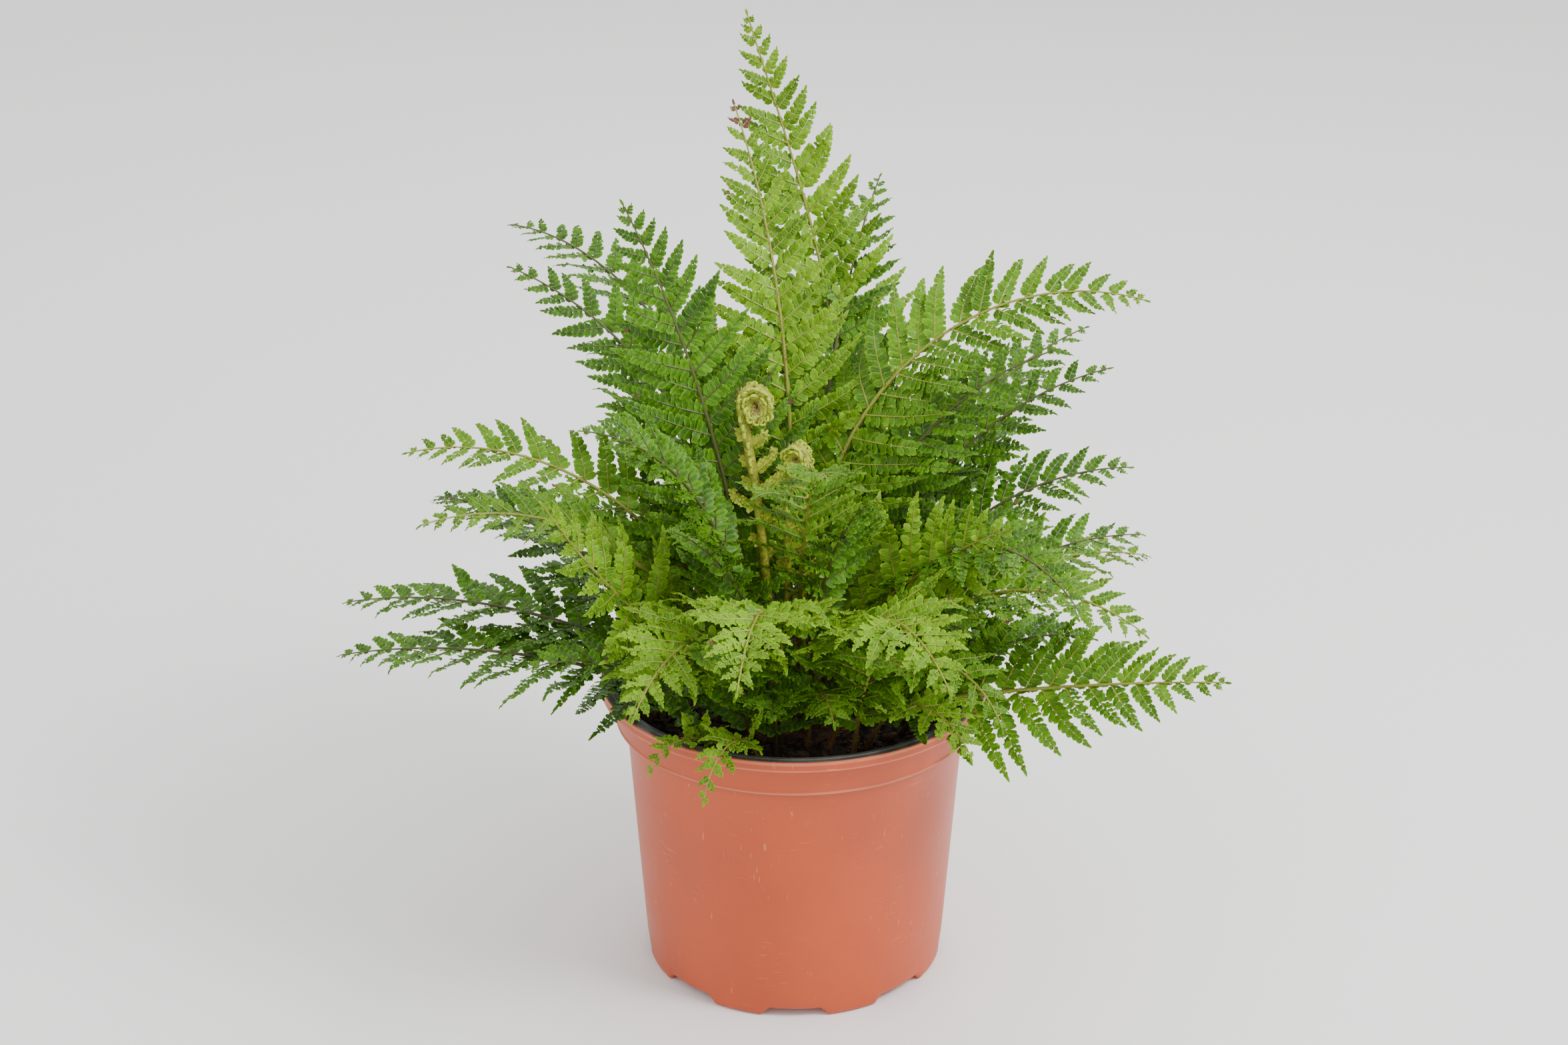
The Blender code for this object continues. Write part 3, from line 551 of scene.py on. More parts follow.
POT_FINISHES = [orange_plastic(), black_plastic()]
pot = build_piece("nursery_pot", [(pot_loft, pot_kinds, {})], POT_FINISHES, sharp=35.0)
shell = bmesh.new()
shell.from_mesh(pot.data)
bmesh.ops.recalc_face_normals(shell, faces=shell.faces)
shell.to_mesh(pot.data)
shell.free()
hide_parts("pot")
print("pot:", triangles(pot), "triangles")

# %% [markdown]
# ## The soil
#
# The mix is peat with bark. Its surface is a height for every angle and radius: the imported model's
# own slope, plus sums of sine waves that run in odd directions, each shorter and lower than the one
# before. Chips of bark and clods lie on top, as a few hundred small bodies in one piece.

# %% Soil sizes
SOIL_TOP = 127.0
SOIL_RISE = 5.0
SOIL_LUMP = 1.3
SOIL_SLOPE_WIDTH = 20.0
CROWN_RADIUS = 40.0
CROWN_HEIGHT = 9.0
CROWN_EDGE = 0.6
CROWN_KNOB = 0.7
FLAT_MARGIN = 2.0
SOIL_EDGE_RADIUS = 80.8
SOIL_RINGS = 90
SOIL_SECTORS = 180
CLODS = 620
CLOD_POINTS = 18  # three rings of six
CLOD_REACH = 76.0  # no clod's middle is further out than this
CLOD_LIMIT = 79.0  # and no clod is wide enough to pass this
CLOD_TILT = 35.0
CELL_MARGIN = 0.08  # share of a loft's map rectangle that stays empty


def ripple(x, y, seed, lengths, heights):
    """A sum of sine waves of the given lengths and heights, each in its own random direction."""
    rng = np.random.default_rng(seed)
    total = np.zeros_like(x)
    for length, height in zip(lengths, heights):
        turn, start = rng.uniform(0, 2 * np.pi, 2)
        along = x * np.cos(turn) + y * np.sin(turn)
        bend = 0.6 * np.sin(along * 2.1 / length)
        total = total + height * np.sin(2 * np.pi * along / length + start + bend)
    return total


def soil_surface(x, y):
    """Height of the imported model's soil in millimetres: flat under the crown, then a lumpy slope."""
    radius = np.hypot(x, y)
    outside = np.clip((radius - CROWN_RADIUS - FLAT_MARGIN) / SOIL_SLOPE_WIDTH, 0.0, 1.0)
    lumps = np.sin(x * 0.21 + 1.3) * np.sin(y * 0.17 + 0.4) + 0.6 * np.sin(x * 0.09 - y * 0.13)
    return SOIL_TOP + SOIL_RISE * (1.0 - outside) + SOIL_LUMP * lumps * outside


def crown_surface(x, y):
    """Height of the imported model's crown in millimetres: a knobbly dome on the soil."""
    dome = np.sqrt(np.clip(1.0 - (np.hypot(x, y) / (CROWN_RADIUS + 1.0)) ** 2, 0.0, 1.0))
    knobs = CROWN_KNOB * np.sin(x * 0.33) * np.sin(y * 0.29 + 0.8)
    return soil_surface(x, y) + CROWN_EDGE + dome * (CROWN_HEIGHT + knobs)


def fine_soil(x, y):
    """The soil's height with crumbs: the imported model's surface plus short waves, in millimetres."""
    crumbs = ripple(x, y, 5, (19.0, 11.0, 7.0, 4.6, 3.1, 2.3), (0.7, 0.6, 0.5, 0.4, 0.3, 0.25))
    return soil_surface(x, y) + crumbs


# %% The soil's shape
soil_angles = np.arange(SOIL_SECTORS) * 2 * np.pi / SOIL_SECTORS
soil_radii = np.linspace(SOIL_EDGE_RADIUS, 0.4, SOIL_RINGS)
soil_x = soil_radii[:, None] * np.cos(soil_angles)
soil_y = soil_radii[:, None] * np.sin(soil_angles)
soil_top = np.stack([soil_x, soil_y, fine_soil(soil_x, soil_y)], axis=-1) * MM
SOIL_SIDE = [
    (0.4, 5.6, 0.0),
    (BASE_RADIUS - 3.2, 5.6, 0.0),
    (BASE_RADIUS - 2.2, 8.0, 0.0),
    (SOIL_EDGE_RADIUS - 0.3, SOIL_TOP - 6.0, 0.0),
]
soil_side = turned(SOIL_SIDE, soil_angles, np.zeros(SOIL_SECTORS))
soil_rings = np.concatenate([soil_side, soil_top])
soil_loft = loft(soil_rings[None], np.linspace(0, 1, SOIL_SECTORS + 1), map_cell(0, 0, 1, 1))


def clods(rng, count):
    """Small rough boxes with six-sided rings: each clod is a ring of six at three heights, its size,
    squash, turn and corners picked at random, lying on the soil clear of the pot's wall."""
    radius = CLOD_REACH * np.sqrt(rng.uniform(0.18, 1.0, count))
    turn = rng.uniform(0, 2 * np.pi, count)
    x, y = radius * np.cos(turn), radius * np.sin(turn)
    size = rng.uniform(1.1, 3.6, count) * np.where(rng.random(count) < 0.12, 1.7, 1.0)
    size = np.minimum(size, CLOD_LIMIT - radius)
    centre = np.stack([x, y, fine_soil(x, y) + size * 0.15], axis=-1)
    spin = np.arange(6) * np.pi / 3
    heights = np.array([-0.55, 0.05, 0.5])
    widths = np.array([0.55, 1.0, 0.6])
    ring = np.stack([np.cos(spin), np.sin(spin), np.zeros(6)], axis=-1)
    shape = ring[None] * widths[:, None, None] + np.array([0, 0, 1.0]) * heights[:, None, None]
    shape = shape[None] * (1.0 + rng.uniform(-0.28, 0.28, (count, 3, 6, 1)))
    squash = [np.ones(count), rng.uniform(0.45, 1.0, count), rng.uniform(0.3, 0.8, count)]
    shape = shape * np.stack(squash, axis=-1)[:, None, None]
    frames = turned_frames(rng, count, CLOD_TILT)
    offsets = size[:, None, None, None] * np.einsum("nsrk,nkj->nsrj", shape, frames)
    return (centre[:, None, None] + offsets) * MM


def turned_frames(rng, count, tilt):
    """Random right-handed frames: a random turn about Z, then a tilt of up to tilt degrees."""
    turn = rng.uniform(0, 2 * np.pi, count)
    tip = np.radians(rng.uniform(-tilt, tilt, (count, 2)))
    first = unit(np.stack([np.cos(turn), np.sin(turn), np.sin(tip[:, 0])], axis=-1))
    lean = np.sin(tip[:, 1])
    up = np.stack([-lean * np.sin(turn), lean * np.cos(turn), np.ones(count)], axis=-1)
    second = unit(np.cross(up, first))
    return np.stack([first, second, np.cross(first, second)], axis=1)


def grid_cells(count, left, bottom, width, height):
    """Equal rectangles of the bake map, one for each loft, row by row."""
    columns = int(np.ceil(np.sqrt(count * width / height)))
    rows = int(np.ceil(count / columns))
    index = np.arange(count)
    wide, high = width / columns, height / rows
    x = left + (index % columns + CELL_MARGIN / 2) * wide
    y = bottom + (index // columns + CELL_MARGIN / 2) * high
    size = np.full(count, 1.0 - CELL_MARGIN)
    return np.stack([x, y, wide * size, high * size], axis=-1)


def shade_of(lofts, per_loft, rng):
    """An attribute for every point, whose first number is random for each loft, from 0 to 1."""
    values = np.zeros((lofts * per_loft, 3))
    values[:, 0] = np.repeat(rng.random(lofts), per_loft)
    return values


# %% Soil finishes and pieces
def peat():
    """Damp peat: near black, with brown fibres and pale specks of grit."""
    finish = Finish("peat", roughness=0.95)
    coarse = finish.noise(180.0, detail=8.0, roughness=0.7)
    share = finish.steps(coarse, 0.35, 0.7)
    colour = finish.mix(share, rgb(0.010, 0.007, 0.005), rgb(0.062, 0.038, 0.023))
    threads = finish.noise(420.0, detail=3.0, stretch=(1.0, 0.18, 1.0), seed=3.0)
    fibre = finish.steps(threads, 0.60, 0.72)
    colour = finish.over(colour, fibre, 0.6, rgb(0.15, 0.088, 0.045))
    grit = finish.steps(finish.noise(700.0, detail=1.0, seed=8.0), 0.70, 0.76)
    finish.colour(finish.mix(grit, colour, rgb(0.22, 0.18, 0.13)))
    finish.bump(coarse, 0.9, 0.0016)
    finish.bump(finish.noise(900.0, detail=3.0), 0.6, 0.0005)
    return finish.material


def bark():
    """Bark and clods: each clod takes its own brown, from its clod_shade attribute."""
    finish = Finish("bark", roughness=0.85)
    shade = finish.attribute("clod_shade")[0]
    dark = finish.mix(shade, rgb(0.020, 0.012, 0.008), rgb(0.115, 0.055, 0.027))
    pale = finish.mix(shade, rgb(0.050, 0.032, 0.020), rgb(0.235, 0.130, 0.070))
    grain = finish.noise(520.0, detail=6.0, stretch=(1.0, 1.0, 3.0), roughness=0.7)
    finish.colour(finish.mix(finish.steps(grain, 0.35, 0.7), dark, pale))
    finish.bump(grain, 0.7, 0.0006)
    return finish.material


SOIL_FINISHES = [peat(), bark()]
soil_rng = np.random.default_rng(11)
clod_rings = clods(soil_rng, CLODS)
clod_cells = grid_cells(CLODS, 0.0, 0.0, 1.0, 0.3)
clod_loft = loft(clod_rings, np.linspace(0, 1, 7), clod_cells)
soil_loft["wall_map"] = soil_loft["wall_map"] * [1.0, 0.7] + [0.0, 0.3]
clod_shades = {"clod_shade": shade_of(CLODS, CLOD_POINTS, soil_rng)}
soil_parts = [(soil_loft, 0, {}), (clod_loft, 1, clod_shades)]
soil = build_piece("potting_soil", soil_parts, SOIL_FINISHES, sharp=180.0)
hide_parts("soil")
print("soil:", triangles(soil), "triangles")

# %% [markdown]
# ## The crown
#
# A fern's fronds all rise from its crown, a short woody stem covered with papery brown scales. The
# crown is a dome on the same rule as the soil. Its scales are thin pointed blades that lean outwards.

# %% The crown
CROWN_RINGS = 40
CROWN_SECTORS = 96
CROWN_SCALES = 700
SCALE_REACH = 38.5
SCALE_POINTS = 16  # four rings of four
UP = np.array([0.0, 0.0, 1.0])


def blades(root, way, up, length, width, thick, curl, stations=4):
    """Thin pointed blades, each a ring of four (left edge, top, right edge, underside) at each
    station q: half width = width/2 * sin-like bulge that ends in a point, and the middle line bends
    towards up by curl * length * q squared."""
    q = np.linspace(0.0, 1.0, stations)
    bulge = np.sqrt(np.clip(1.0 - q**2.4, 0.0, 1.0)) * (0.75 + 0.5 * q * (1.0 - q) * 2)
    bulge[-1] = 0.06
    side = unit(np.cross(up, way))
    middle = root[:, None] + way[:, None] * (length[:, None] * q)[..., None]
    middle = middle + up[:, None] * (curl[:, None] * length[:, None] * q**2)[..., None]
    half = (width[:, None] / 2 * bulge)[..., None] * side[:, None]
    lift = (thick / 2 * (0.3 + 0.7 * bulge))[None, :, None] * up[:, None]
    return np.stack([middle - half, middle + lift, middle + half, middle - lift], axis=2)


def ground(x, y):
    """What a stalk's foot stands on, in millimetres: the crown, or the soil outside it."""
    on_crown = np.hypot(x, y) < CROWN_RADIUS + 1.0
    return np.where(on_crown, crown_surface(x, y), soil_surface(x, y))


crown_angles = np.arange(CROWN_SECTORS) * 2 * np.pi / CROWN_SECTORS
crown_radii = CROWN_RADIUS * np.linspace(1.0, 0.01, CROWN_RINGS) ** 0.8
crown_x = crown_radii[:, None] * np.cos(crown_angles)
crown_y = crown_radii[:, None] * np.sin(crown_angles)
crown_knobs = ripple(crown_x, crown_y, 21, (13.0, 8.0, 5.0, 3.4), (0.5, 0.5, 0.4, 0.3))
crown_fade = smooth(CROWN_RADIUS - crown_radii, 0.0, 4.0)[:, None]
crown_z = crown_surface(crown_x, crown_y) + crown_knobs * crown_fade
crown_top = np.stack([crown_x, crown_y, crown_z], axis=-1)
crown_foot = crown_top[:1] * [1, 1, 0] + [0, 0, SOIL_TOP + SOIL_RISE - 0.6]
crown_middle = crown_foot * [0.02, 0.02, 1]
crown_rings = np.concatenate([crown_middle, crown_foot, crown_top]) * MM
crown_across = np.linspace(0, 1, CROWN_SECTORS + 1)
crown_loft = loft(crown_rings[None], crown_across, map_cell(0, 0.4, 1, 0.6))

crown_rng = np.random.default_rng(31)
scale_radius = SCALE_REACH * np.sqrt(crown_rng.uniform(0.02, 1.0, CROWN_SCALES))
scale_turn = crown_rng.uniform(0, 2 * np.pi, CROWN_SCALES)
scale_x, scale_y = scale_radius * np.cos(scale_turn), scale_radius * np.sin(scale_turn)
scale_root = np.stack([scale_x, scale_y, ground(scale_x, scale_y) - 0.3], axis=-1) * MM
scale_out = np.stack([np.cos(scale_turn), np.sin(scale_turn), np.zeros(CROWN_SCALES)], axis=-1)
scale_out = unit(scale_out + crown_rng.normal(0, 0.5, (CROWN_SCALES, 3)) * [1, 1, 0])
scale_rise = crown_rng.uniform(0.25, 1.5, CROWN_SCALES)
scale_way = unit(scale_out + UP * scale_rise[:, None])
scale_up = unit(np.cross(scale_way, np.cross(UP, scale_out)))
scale_rings = blades(
    scale_root,
    scale_way,
    scale_up,
    crown_rng.uniform(2.5, 6.5, CROWN_SCALES) * MM,
    crown_rng.uniform(0.9, 2.0, CROWN_SCALES) * MM,
    0.15 * MM,
    crown_rng.uniform(-0.25, 0.25, CROWN_SCALES),
)
scale_loft = loft(scale_rings, BLADE_ACROSS, grid_cells(CROWN_SCALES, 0, 0, 1, 0.38))
print("crown rings:", crown_rings.shape, "scales:", scale_rings.shape)


def crown_bark():
    """The crown's dark woody surface."""
    finish = Finish("crown_bark", roughness=0.9)
    rough = finish.noise(260.0, detail=7.0, roughness=0.7)
    share = finish.steps(rough, 0.35, 0.7)
    finish.colour(finish.mix(share, rgb(0.022, 0.012, 0.008), rgb(0.13, 0.065, 0.032)))
    finish.bump(rough, 0.8, 0.001)
    return finish.material


def papery_scale():
    """A fern's scales: ginger brown, paler at the edge, each a little different."""
    finish = Finish("papery_scale", roughness=0.6)
    shade = finish.attribute("clod_shade")[0]
    colour = finish.mix(shade, rgb(0.16, 0.070, 0.024), rgb(0.46, 0.25, 0.10))
    streak = finish.noise(900.0, detail=2.0)
    finish.colour(finish.over(colour, streak, 0.5, rgb(0.10, 0.045, 0.018)))
    finish.bump(streak, 0.3, 0.0002)
    return finish.material


scale_shades = {"clod_shade": shade_of(CROWN_SCALES, SCALE_POINTS, crown_rng)}
PAPERY = papery_scale()
crown_parts = [(crown_loft, 0, {}), (scale_loft, 1, scale_shades)]
crown = build_piece("crown_with_scales", crown_parts, [crown_bark(), PAPERY])
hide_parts("crown")
print("crown:", triangles(crown), "triangles")

# %% [markdown]
# ## The fronds
#
# A frond's stalk is a curve. Its angle from upright starts at lean and grows by arch towards the tip;
# its heading starts at bearing and turns by sway. Adding up small steps in that direction gives the
# curve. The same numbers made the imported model's simple fronds, so each detailed frond lies where
# its plain solid does.
#
# Angles are in degrees and lengths in millimetres. foot and foot_angle place the stalk's foot; face
# is the heading that the blade's underside turns to, and roll tips the blade about its midrib; bare
# is the share of the stalk with no pinnae; pinna is the longest pinna.

# %% Frond table
Frond = namedtuple(
    "Frond",
    "name foot_angle foot bearing lean arch sway face roll length bare pinna pairs hue",
)
FRONDS = [
    Frond("apex_frond", 48, 9, 40, 22, -5, 146, 95, 0, 332, 0.34, 56, 8, "young"),
    Frond("brown_tip_frond", 110, 14, 112, -8, 50, 5, 90, 0, 290, 0.42, 48, 7, "young"),
    Frond("left_centre_frond", 190, 15, 185, 8, 17, 0, 100, 0, 255, 0.38, 62, 7, "old"),
    Frond("left_upper_frond", 165, 22, 170, 4, 65, 0, 150, 20, 250, 0.40, 55, 6, "old"),
    Frond("left_rear_frond", 135, 22, 143, 3, 92, 0, 130, 10, 290, 0.42, 52, 6, "old"),
    Frond("left_mid_frond", 195, 23, 180, 20, 84, 0, 180, 30, 225, 0.36, 45, 7, "olive"),
    Frond("left_drooping_frond", 213, 30, 196, 24, 75, 10, 200, 20, 210, 0.36, 42, 6, "olive"),
    Frond("left_young_frond", 228, 22, 214, 50, -20, 5, 200, 40, 180, 0.42, 45, 6, "young"),
    Frond("left_low_frond", 180, 32, 180, 62, 42, -10, 175, 5, 198, 0.22, 56, 8, "old"),
    Frond("left_lowest_frond", 202, 36, 192, 66, 34, -12, 185, 5, 190, 0.22, 56, 8, "old"),
    Frond("right_upper_frond", 358, 9, 6, -4, 110, -10, 0, -45, 297, 0.40, 55, 8, "olive"),
    Frond("right_mid_frond", 12, 22, 0, 14, 61, 0, 0, -30, 217, 0.36, 48, 7, "old"),
    Frond("right_side_frond", 350, 26, 355, 22, 65, 0, 355, -30, 190, 0.32, 50, 7, "old"),
    Frond("right_curling_frond", 328, 20, 330, 20, 102, -30, 320, -20, 215, 0.38, 48, 7, "old"),
    Frond("right_front_frond", 342, 33, 325, 30, 90, 5, 325, -20, 185, 0.36, 46, 6, "olive"),
    Frond("right_low_frond", 322, 34, 332, 70, 8, 0, 332, -45, 195, 0.20, 50, 8, "olive"),
    Frond("front_young_frond", 270, 10, 322, 36, 25, 0, 20, -35, 170, 0.38, 52, 6, "young"),
    Frond("rim_right_frond", 290, 48, 335, 20, 125, -30, 330, -20, 140, 0.50, 36, 5, "olive"),
    Frond("rim_left_frond", 238, 42, 228, 20, 120, 10, 218, 10, 120, 0.35, 38, 5, "young"),
    Frond("front_frond", 262, 26, 262, 25, 95, 0, 262, 0, 200, 0.40, 50, 6, "young"),
    Frond("front_right_frond", 300, 27, 290, 28, 90, 0, 290, -10, 190, 0.38, 48, 6, "young"),
    Frond("front_left_frond", 246, 36, 245, 25, 105, 0, 245, 10, 170, 0.38, 45, 6, "young"),
    Frond("rear_upper_frond", 70, 18, 70, 4, 55, 0, 75, 0, 260, 0.38, 55, 6, "old"),
    Frond("rear_right_frond", 32, 25, 28, 18, 60, 0, 28, -20, 222, 0.36, 52, 6, "old"),
    Frond("rear_frond", 88, 27, 85, 25, 70, 0, 85, 0, 270, 0.34, 58, 6, "old"),
    Frond("rear_left_frond", 115, 30, 118, 38, 65, 0, 118, 0, 250, 0.32, 56, 6, "old"),
    Frond("rear_left_low_frond", 152, 34, 152, 50, 55, 0, 152, 5, 195, 0.30, 52, 6, "old"),
    Frond("rear_right_low_frond", 55, 33, 55, 42, 60, 0, 55, 0, 240, 0.32, 56, 6, "old"),
    Frond("right_rear_low_frond", 18, 35, 15, 48, 60, 0, 15, -10, 165, 0.30, 50, 6, "olive"),
    Frond("inner_left_frond", 215, 24, 222, 6, 66, 0, 190, 15, 205, 0.42, 46, 6, "old"),
    Frond("inner_front_frond", 272, 19, 276, 8, 72, 0, 276, 0, 215, 0.42, 48, 6, "olive"),
    Frond("inner_right_frond", 340, 14, 344, 8, 58, 0, 20, -25, 225, 0.42, 48, 6, "old"),
    Frond("mid_left_frond", 172, 38, 168, 38, 50, 0, 168, 15, 172, 0.32, 48, 6, "old"),
    Frond("mid_right_frond", 2, 36, 4, 38, 54, 0, 4, -20, 160, 0.32, 48, 6, "old"),
    Frond("rear_low_frond", 100, 37, 100, 52, 50, 0, 100, 0, 205, 0.30, 52, 6, "old"),
    Frond("rim_front_frond", 278, 44, 280, 22, 95, 0, 280, 0, 85, 0.35, 32, 5, "olive"),
    Frond("rim_front_right_frond", 310, 54, 306, 30, 110, 0, 306, 0, 95, 0.35, 34, 5, "young"),
    Frond("low_front_frond", 260, 52, 268, 15, 90, 0, 268, 0, 78, 0.30, 28, 4, "old"),
    Frond("rim_rear_left_frond", 135, 52, 135, 42, 85, 0, 135, 0, 125, 0.32, 40, 5, "old"),
    Frond("rim_rear_right_frond", 72, 54, 72, 42, 85, 0, 72, 0, 125, 0.32, 40, 5, "olive"),
    Frond("small_front_frond", 256, 64, 246, 28, 130, 0, 246, 0, 84, 0.35, 20, 4, "young"),
    Frond("small_left_frond", 240, 64, 228, 30, 110, 0, 228, 0, 66, 0.35, 16, 4, "young"),
    Frond("under_front_frond", 299, 57, 283, 18, 75, 0, 275, 0, 130, 0.24, 44, 6, "olive"),
    Frond("under_left_front_frond", 248, 55, 254, 15, 72, 0, 248, 5, 125, 0.24, 44, 6, "old"),
    Frond("under_right_front_frond", 304, 39, 312, 21, 72, 0, 304, -5, 125, 0.24, 44, 6, "old"),
    Frond("under_left_frond", 220, 58, 214, 31, 62, 0, 214, 10, 118, 0.24, 40, 6, "old"),
    Frond("under_right_frond", 336, 58, 338, 31, 62, 0, 338, -10, 118, 0.24, 40, 6, "old"),
    Frond("core_left_frond", 259, 41, 227, 10, 50, 0, 235, 0, 150, 0.26, 46, 6, "old"),
    Frond("core_right_frond", 281, 33, 297, 4, 50, 0, 305, 0, 150, 0.26, 46, 6, "old"),
    Frond("core_rear_frond", 74, 41, 72, 10, 50, 0, 80, 0, 160, 0.26, 48, 6, "old"),
    Frond("edge_left_frond", 222, 44, 232, 34, 70, 0, 232, 0, 78, 0.20, 26, 5, "old"),
]
print("fronds:", len(FRONDS))

# %% Frond rules
ARCH_POWER = 1.6
CURVE_STEPS = 200
STALK_RADIUS = 2.1
TIP_RADIUS = 0.42
TAPER_POWER = 0.8
SLIM_BASE = 0.45
SLIM_LENGTH = 400.0
FOOT_RISE = 1.6
FOOT_REACH = 1.5
FOOT_DEPTH = 4.0  # how far the stalk goes on down into the crown
PINNA_ANGLE = 70.0
PINNA_ANGLE_TIP = 48.0
PINNA_START = 0.45
PINNA_RISE = 0.22
PINNA_NARROWING = 0.75
PINNA_SCALE = 1.25
PINNA_STEPS = 24
STALK_STATIONS = 72
STALK_SIDES = 8
RIB_STATIONS = 9
PINNULE_WIDTH = 3.0  # millimetres along the pinna that each pinnule takes
STALK_SHARE = 0.82  # the detailed stalk's radius next to the plain solid's
CLEAR_OF_SOIL = 2.0
CLEAR_OF_RIM = 1.6
ANY_HEIGHT = -1000.0
LIGHT_RISE = 0.35  # how far the light's direction points upwards
FEWEST_PAIRS = 7
CROWDING = 1.18  # above 1, pinnae stand closer towards the tip
CLEARING_ROUNDS = 12


def foot_point(frond):
    """Where the stalk starts: on the highest ground just round its foot."""
    turn = np.radians(frond.foot_angle)
    x, y = frond.foot * np.cos(turn), frond.foot * np.sin(turn)
    reach = STALK_RADIUS * FOOT_REACH * np.array([-1.0, 0.0, 1.0])
    near_x, near_y = np.meshgrid(x + reach, y + reach)
    return np.array([x, y, ground(near_x, near_y).max() + FOOT_RISE]) * MM


def stem_curve(start, bearing, lean, arch, sway, length):
    """Points and directions along a stem, at CURVE_STEPS + 1 equal shares s of its length: angle from
    upright = lean + arch * s ** ARCH_POWER, heading = bearing + sway * s, summed step by step."""
    fine = np.linspace(0.0, 1.0, CURVE_STEPS + 1)
    tilt = np.radians(lean + arch * fine**ARCH_POWER)
    heading = np.radians(bearing + sway * fine)
    across = np.sin(tilt)
    ways = np.stack([across * np.cos(heading), across * np.sin(heading), np.cos(tilt)], axis=1)
    steps = (ways[1:] + ways[:-1]) / 2 * (length * MM / CURVE_STEPS)
    return np.concatenate([[start], start + np.cumsum(steps, axis=0)]), ways


def at(shares, values):
    """Values of a curve at shares of its length, by straight interpolation."""
    fine = np.linspace(0.0, 1.0, len(values))
    return np.stack([np.interp(shares, fine, values[:, k]) for k in range(values.shape[1])], axis=1)


def blade_sides(way, face, roll):
    """The blade's sideways direction and its upper side's normal along the midrib."""
    turn = np.radians(face)
    flat = np.array([np.sin(turn), -np.cos(turn), 0.0])
    side = unit(flat - (way @ flat)[:, None] * way)
    upper = np.cross(side, way)
    tip = np.radians(roll)
    tipped = side * np.cos(tip) + upper * np.sin(tip)
    return tipped, np.cross(tipped, way)


def pinna_share(u):
    """A pinna's length at share u of the blade, next to the longest: quick growth, then a taper."""
    return np.minimum(1.0, PINNA_START + u / PINNA_RISE) * (1.0 - u) ** PINNA_NARROWING * PINNA_SCALE


def stalk_radius(frond, shares):
    """Radius of the stalk and midrib in millimetres at shares of the frond's length."""
    slim = min(1.0, SLIM_BASE + frond.length / SLIM_LENGTH)
    return (STALK_RADIUS + (TIP_RADIUS - STALK_RADIUS) * shares**TAPER_POWER) * slim * STALK_SHARE


# %% [markdown]
# ### Pinnae and pinnules
#
# A pinna is a smaller stem that leaves the midrib at an angle, bends forward, droops a little and
# twists, and each does so by its own random amount. It also turns towards the light, most of all on
# the small fronds over the soil and the rim. Pinnules stand on both sides of it. A pinnule is a thin
# blade whose outline is an oblong with a round end, times a zigzag for its teeth. All the pinnules
# of a frond are worked out at once: every array below has one row for each of them.


# %% Pinna curves
def tube(path, radius, sides):
    """Rings round paths: at each point, corners at radius times cos and sin of equal angles along
    two directions square to the path. path has the shape (tubes, stations, 3)."""
    way = unit(np.gradient(path, axis=1))
    helper = np.where(np.abs(way[:, :1, 2:]) > 0.8, [[[1.0, 0.0, 0.0]]], [[[0.0, 0.0, 1.0]]])
    first = unit(np.cross(way, helper))
    second = np.cross(way, first)
    spin = np.arange(sides) * 2 * np.pi / sides
    cos, sin = np.cos(spin)[:, None], np.sin(spin)[:, None]
    ring = first[..., None, :] * cos + second[..., None, :] * sin
    return path[..., None, :] + radius[..., None, None] * ring


def pot_clearance(points):
    """The lowest height that is clear of the pot and the soil under each point: over the soil inside
    the rim, over the rim itself, and anything outside it."""
    radius = np.hypot(points[..., 0], points[..., 1]) / MM
    inside = SOIL_TOP + SOIL_RISE + CLEAR_OF_SOIL
    over_rim = POT_HEIGHT + CLEAR_OF_RIM
    low = np.where(radius < COLLAR_RADIUS - 5.0, inside, over_rim)
    return np.where(radius > RIM_RADIUS + 2.0, ANY_HEIGHT, low) * MM


def pinna_curves(roots, way, side, upper, hand, angle, sweep, droop, wave, lift, length):
    """Curves of all pinnae: direction at share t = sideways and forward by angle - sweep * t, turned
    down by droop * t ** 1.5 + wave * sin(...), summed over t. Gives points, directions and normals."""
    t = np.linspace(0.0, 1.0, PINNA_STEPS)
    out = hand[:, None] * side * np.cos(lift)[:, None] + upper * np.sin(lift)[:, None]
    normal = unit(np.cross(way, out) * -hand[:, None])
    turn = angle[:, None] - sweep[:, None] * t
    ripples = wave[:, :1] * np.sin(2 * np.pi * (wave[:, 1:2] * t + wave[:, 2:3])) * t
    down = droop[:, None] * t**1.5 + ripples
    flat = out[:, None] * np.sin(turn)[..., None] + way[:, None] * np.cos(turn)[..., None]
    ways = flat * np.cos(down)[..., None] - normal[:, None] * np.sin(down)[..., None]
    steps = ways[:, :-1] * (length / (PINNA_STEPS - 1))[:, None, None]
    points = np.concatenate([roots[:, None], roots[:, None] + np.cumsum(steps, axis=1)], axis=1)
    normals = unit(normal[:, None] - np.sum(normal[:, None] * ways, axis=-1, keepdims=True) * ways)
    return points, unit(ways), normals


def seek_light(points, along, normals, amount):
    """Normals turned about their pinna towards the light, which comes from outside and above: each
    has amount times that direction added, and is made square to the pinna again."""
    light = points * (1.0, 1.0, 0.0)
    light = unit(light + 1e-6) + (0.0, 0.0, LIGHT_RISE)
    turned_to = normals + light * amount
    return unit(turned_to - np.sum(turned_to * along, axis=-1, keepdims=True) * along)


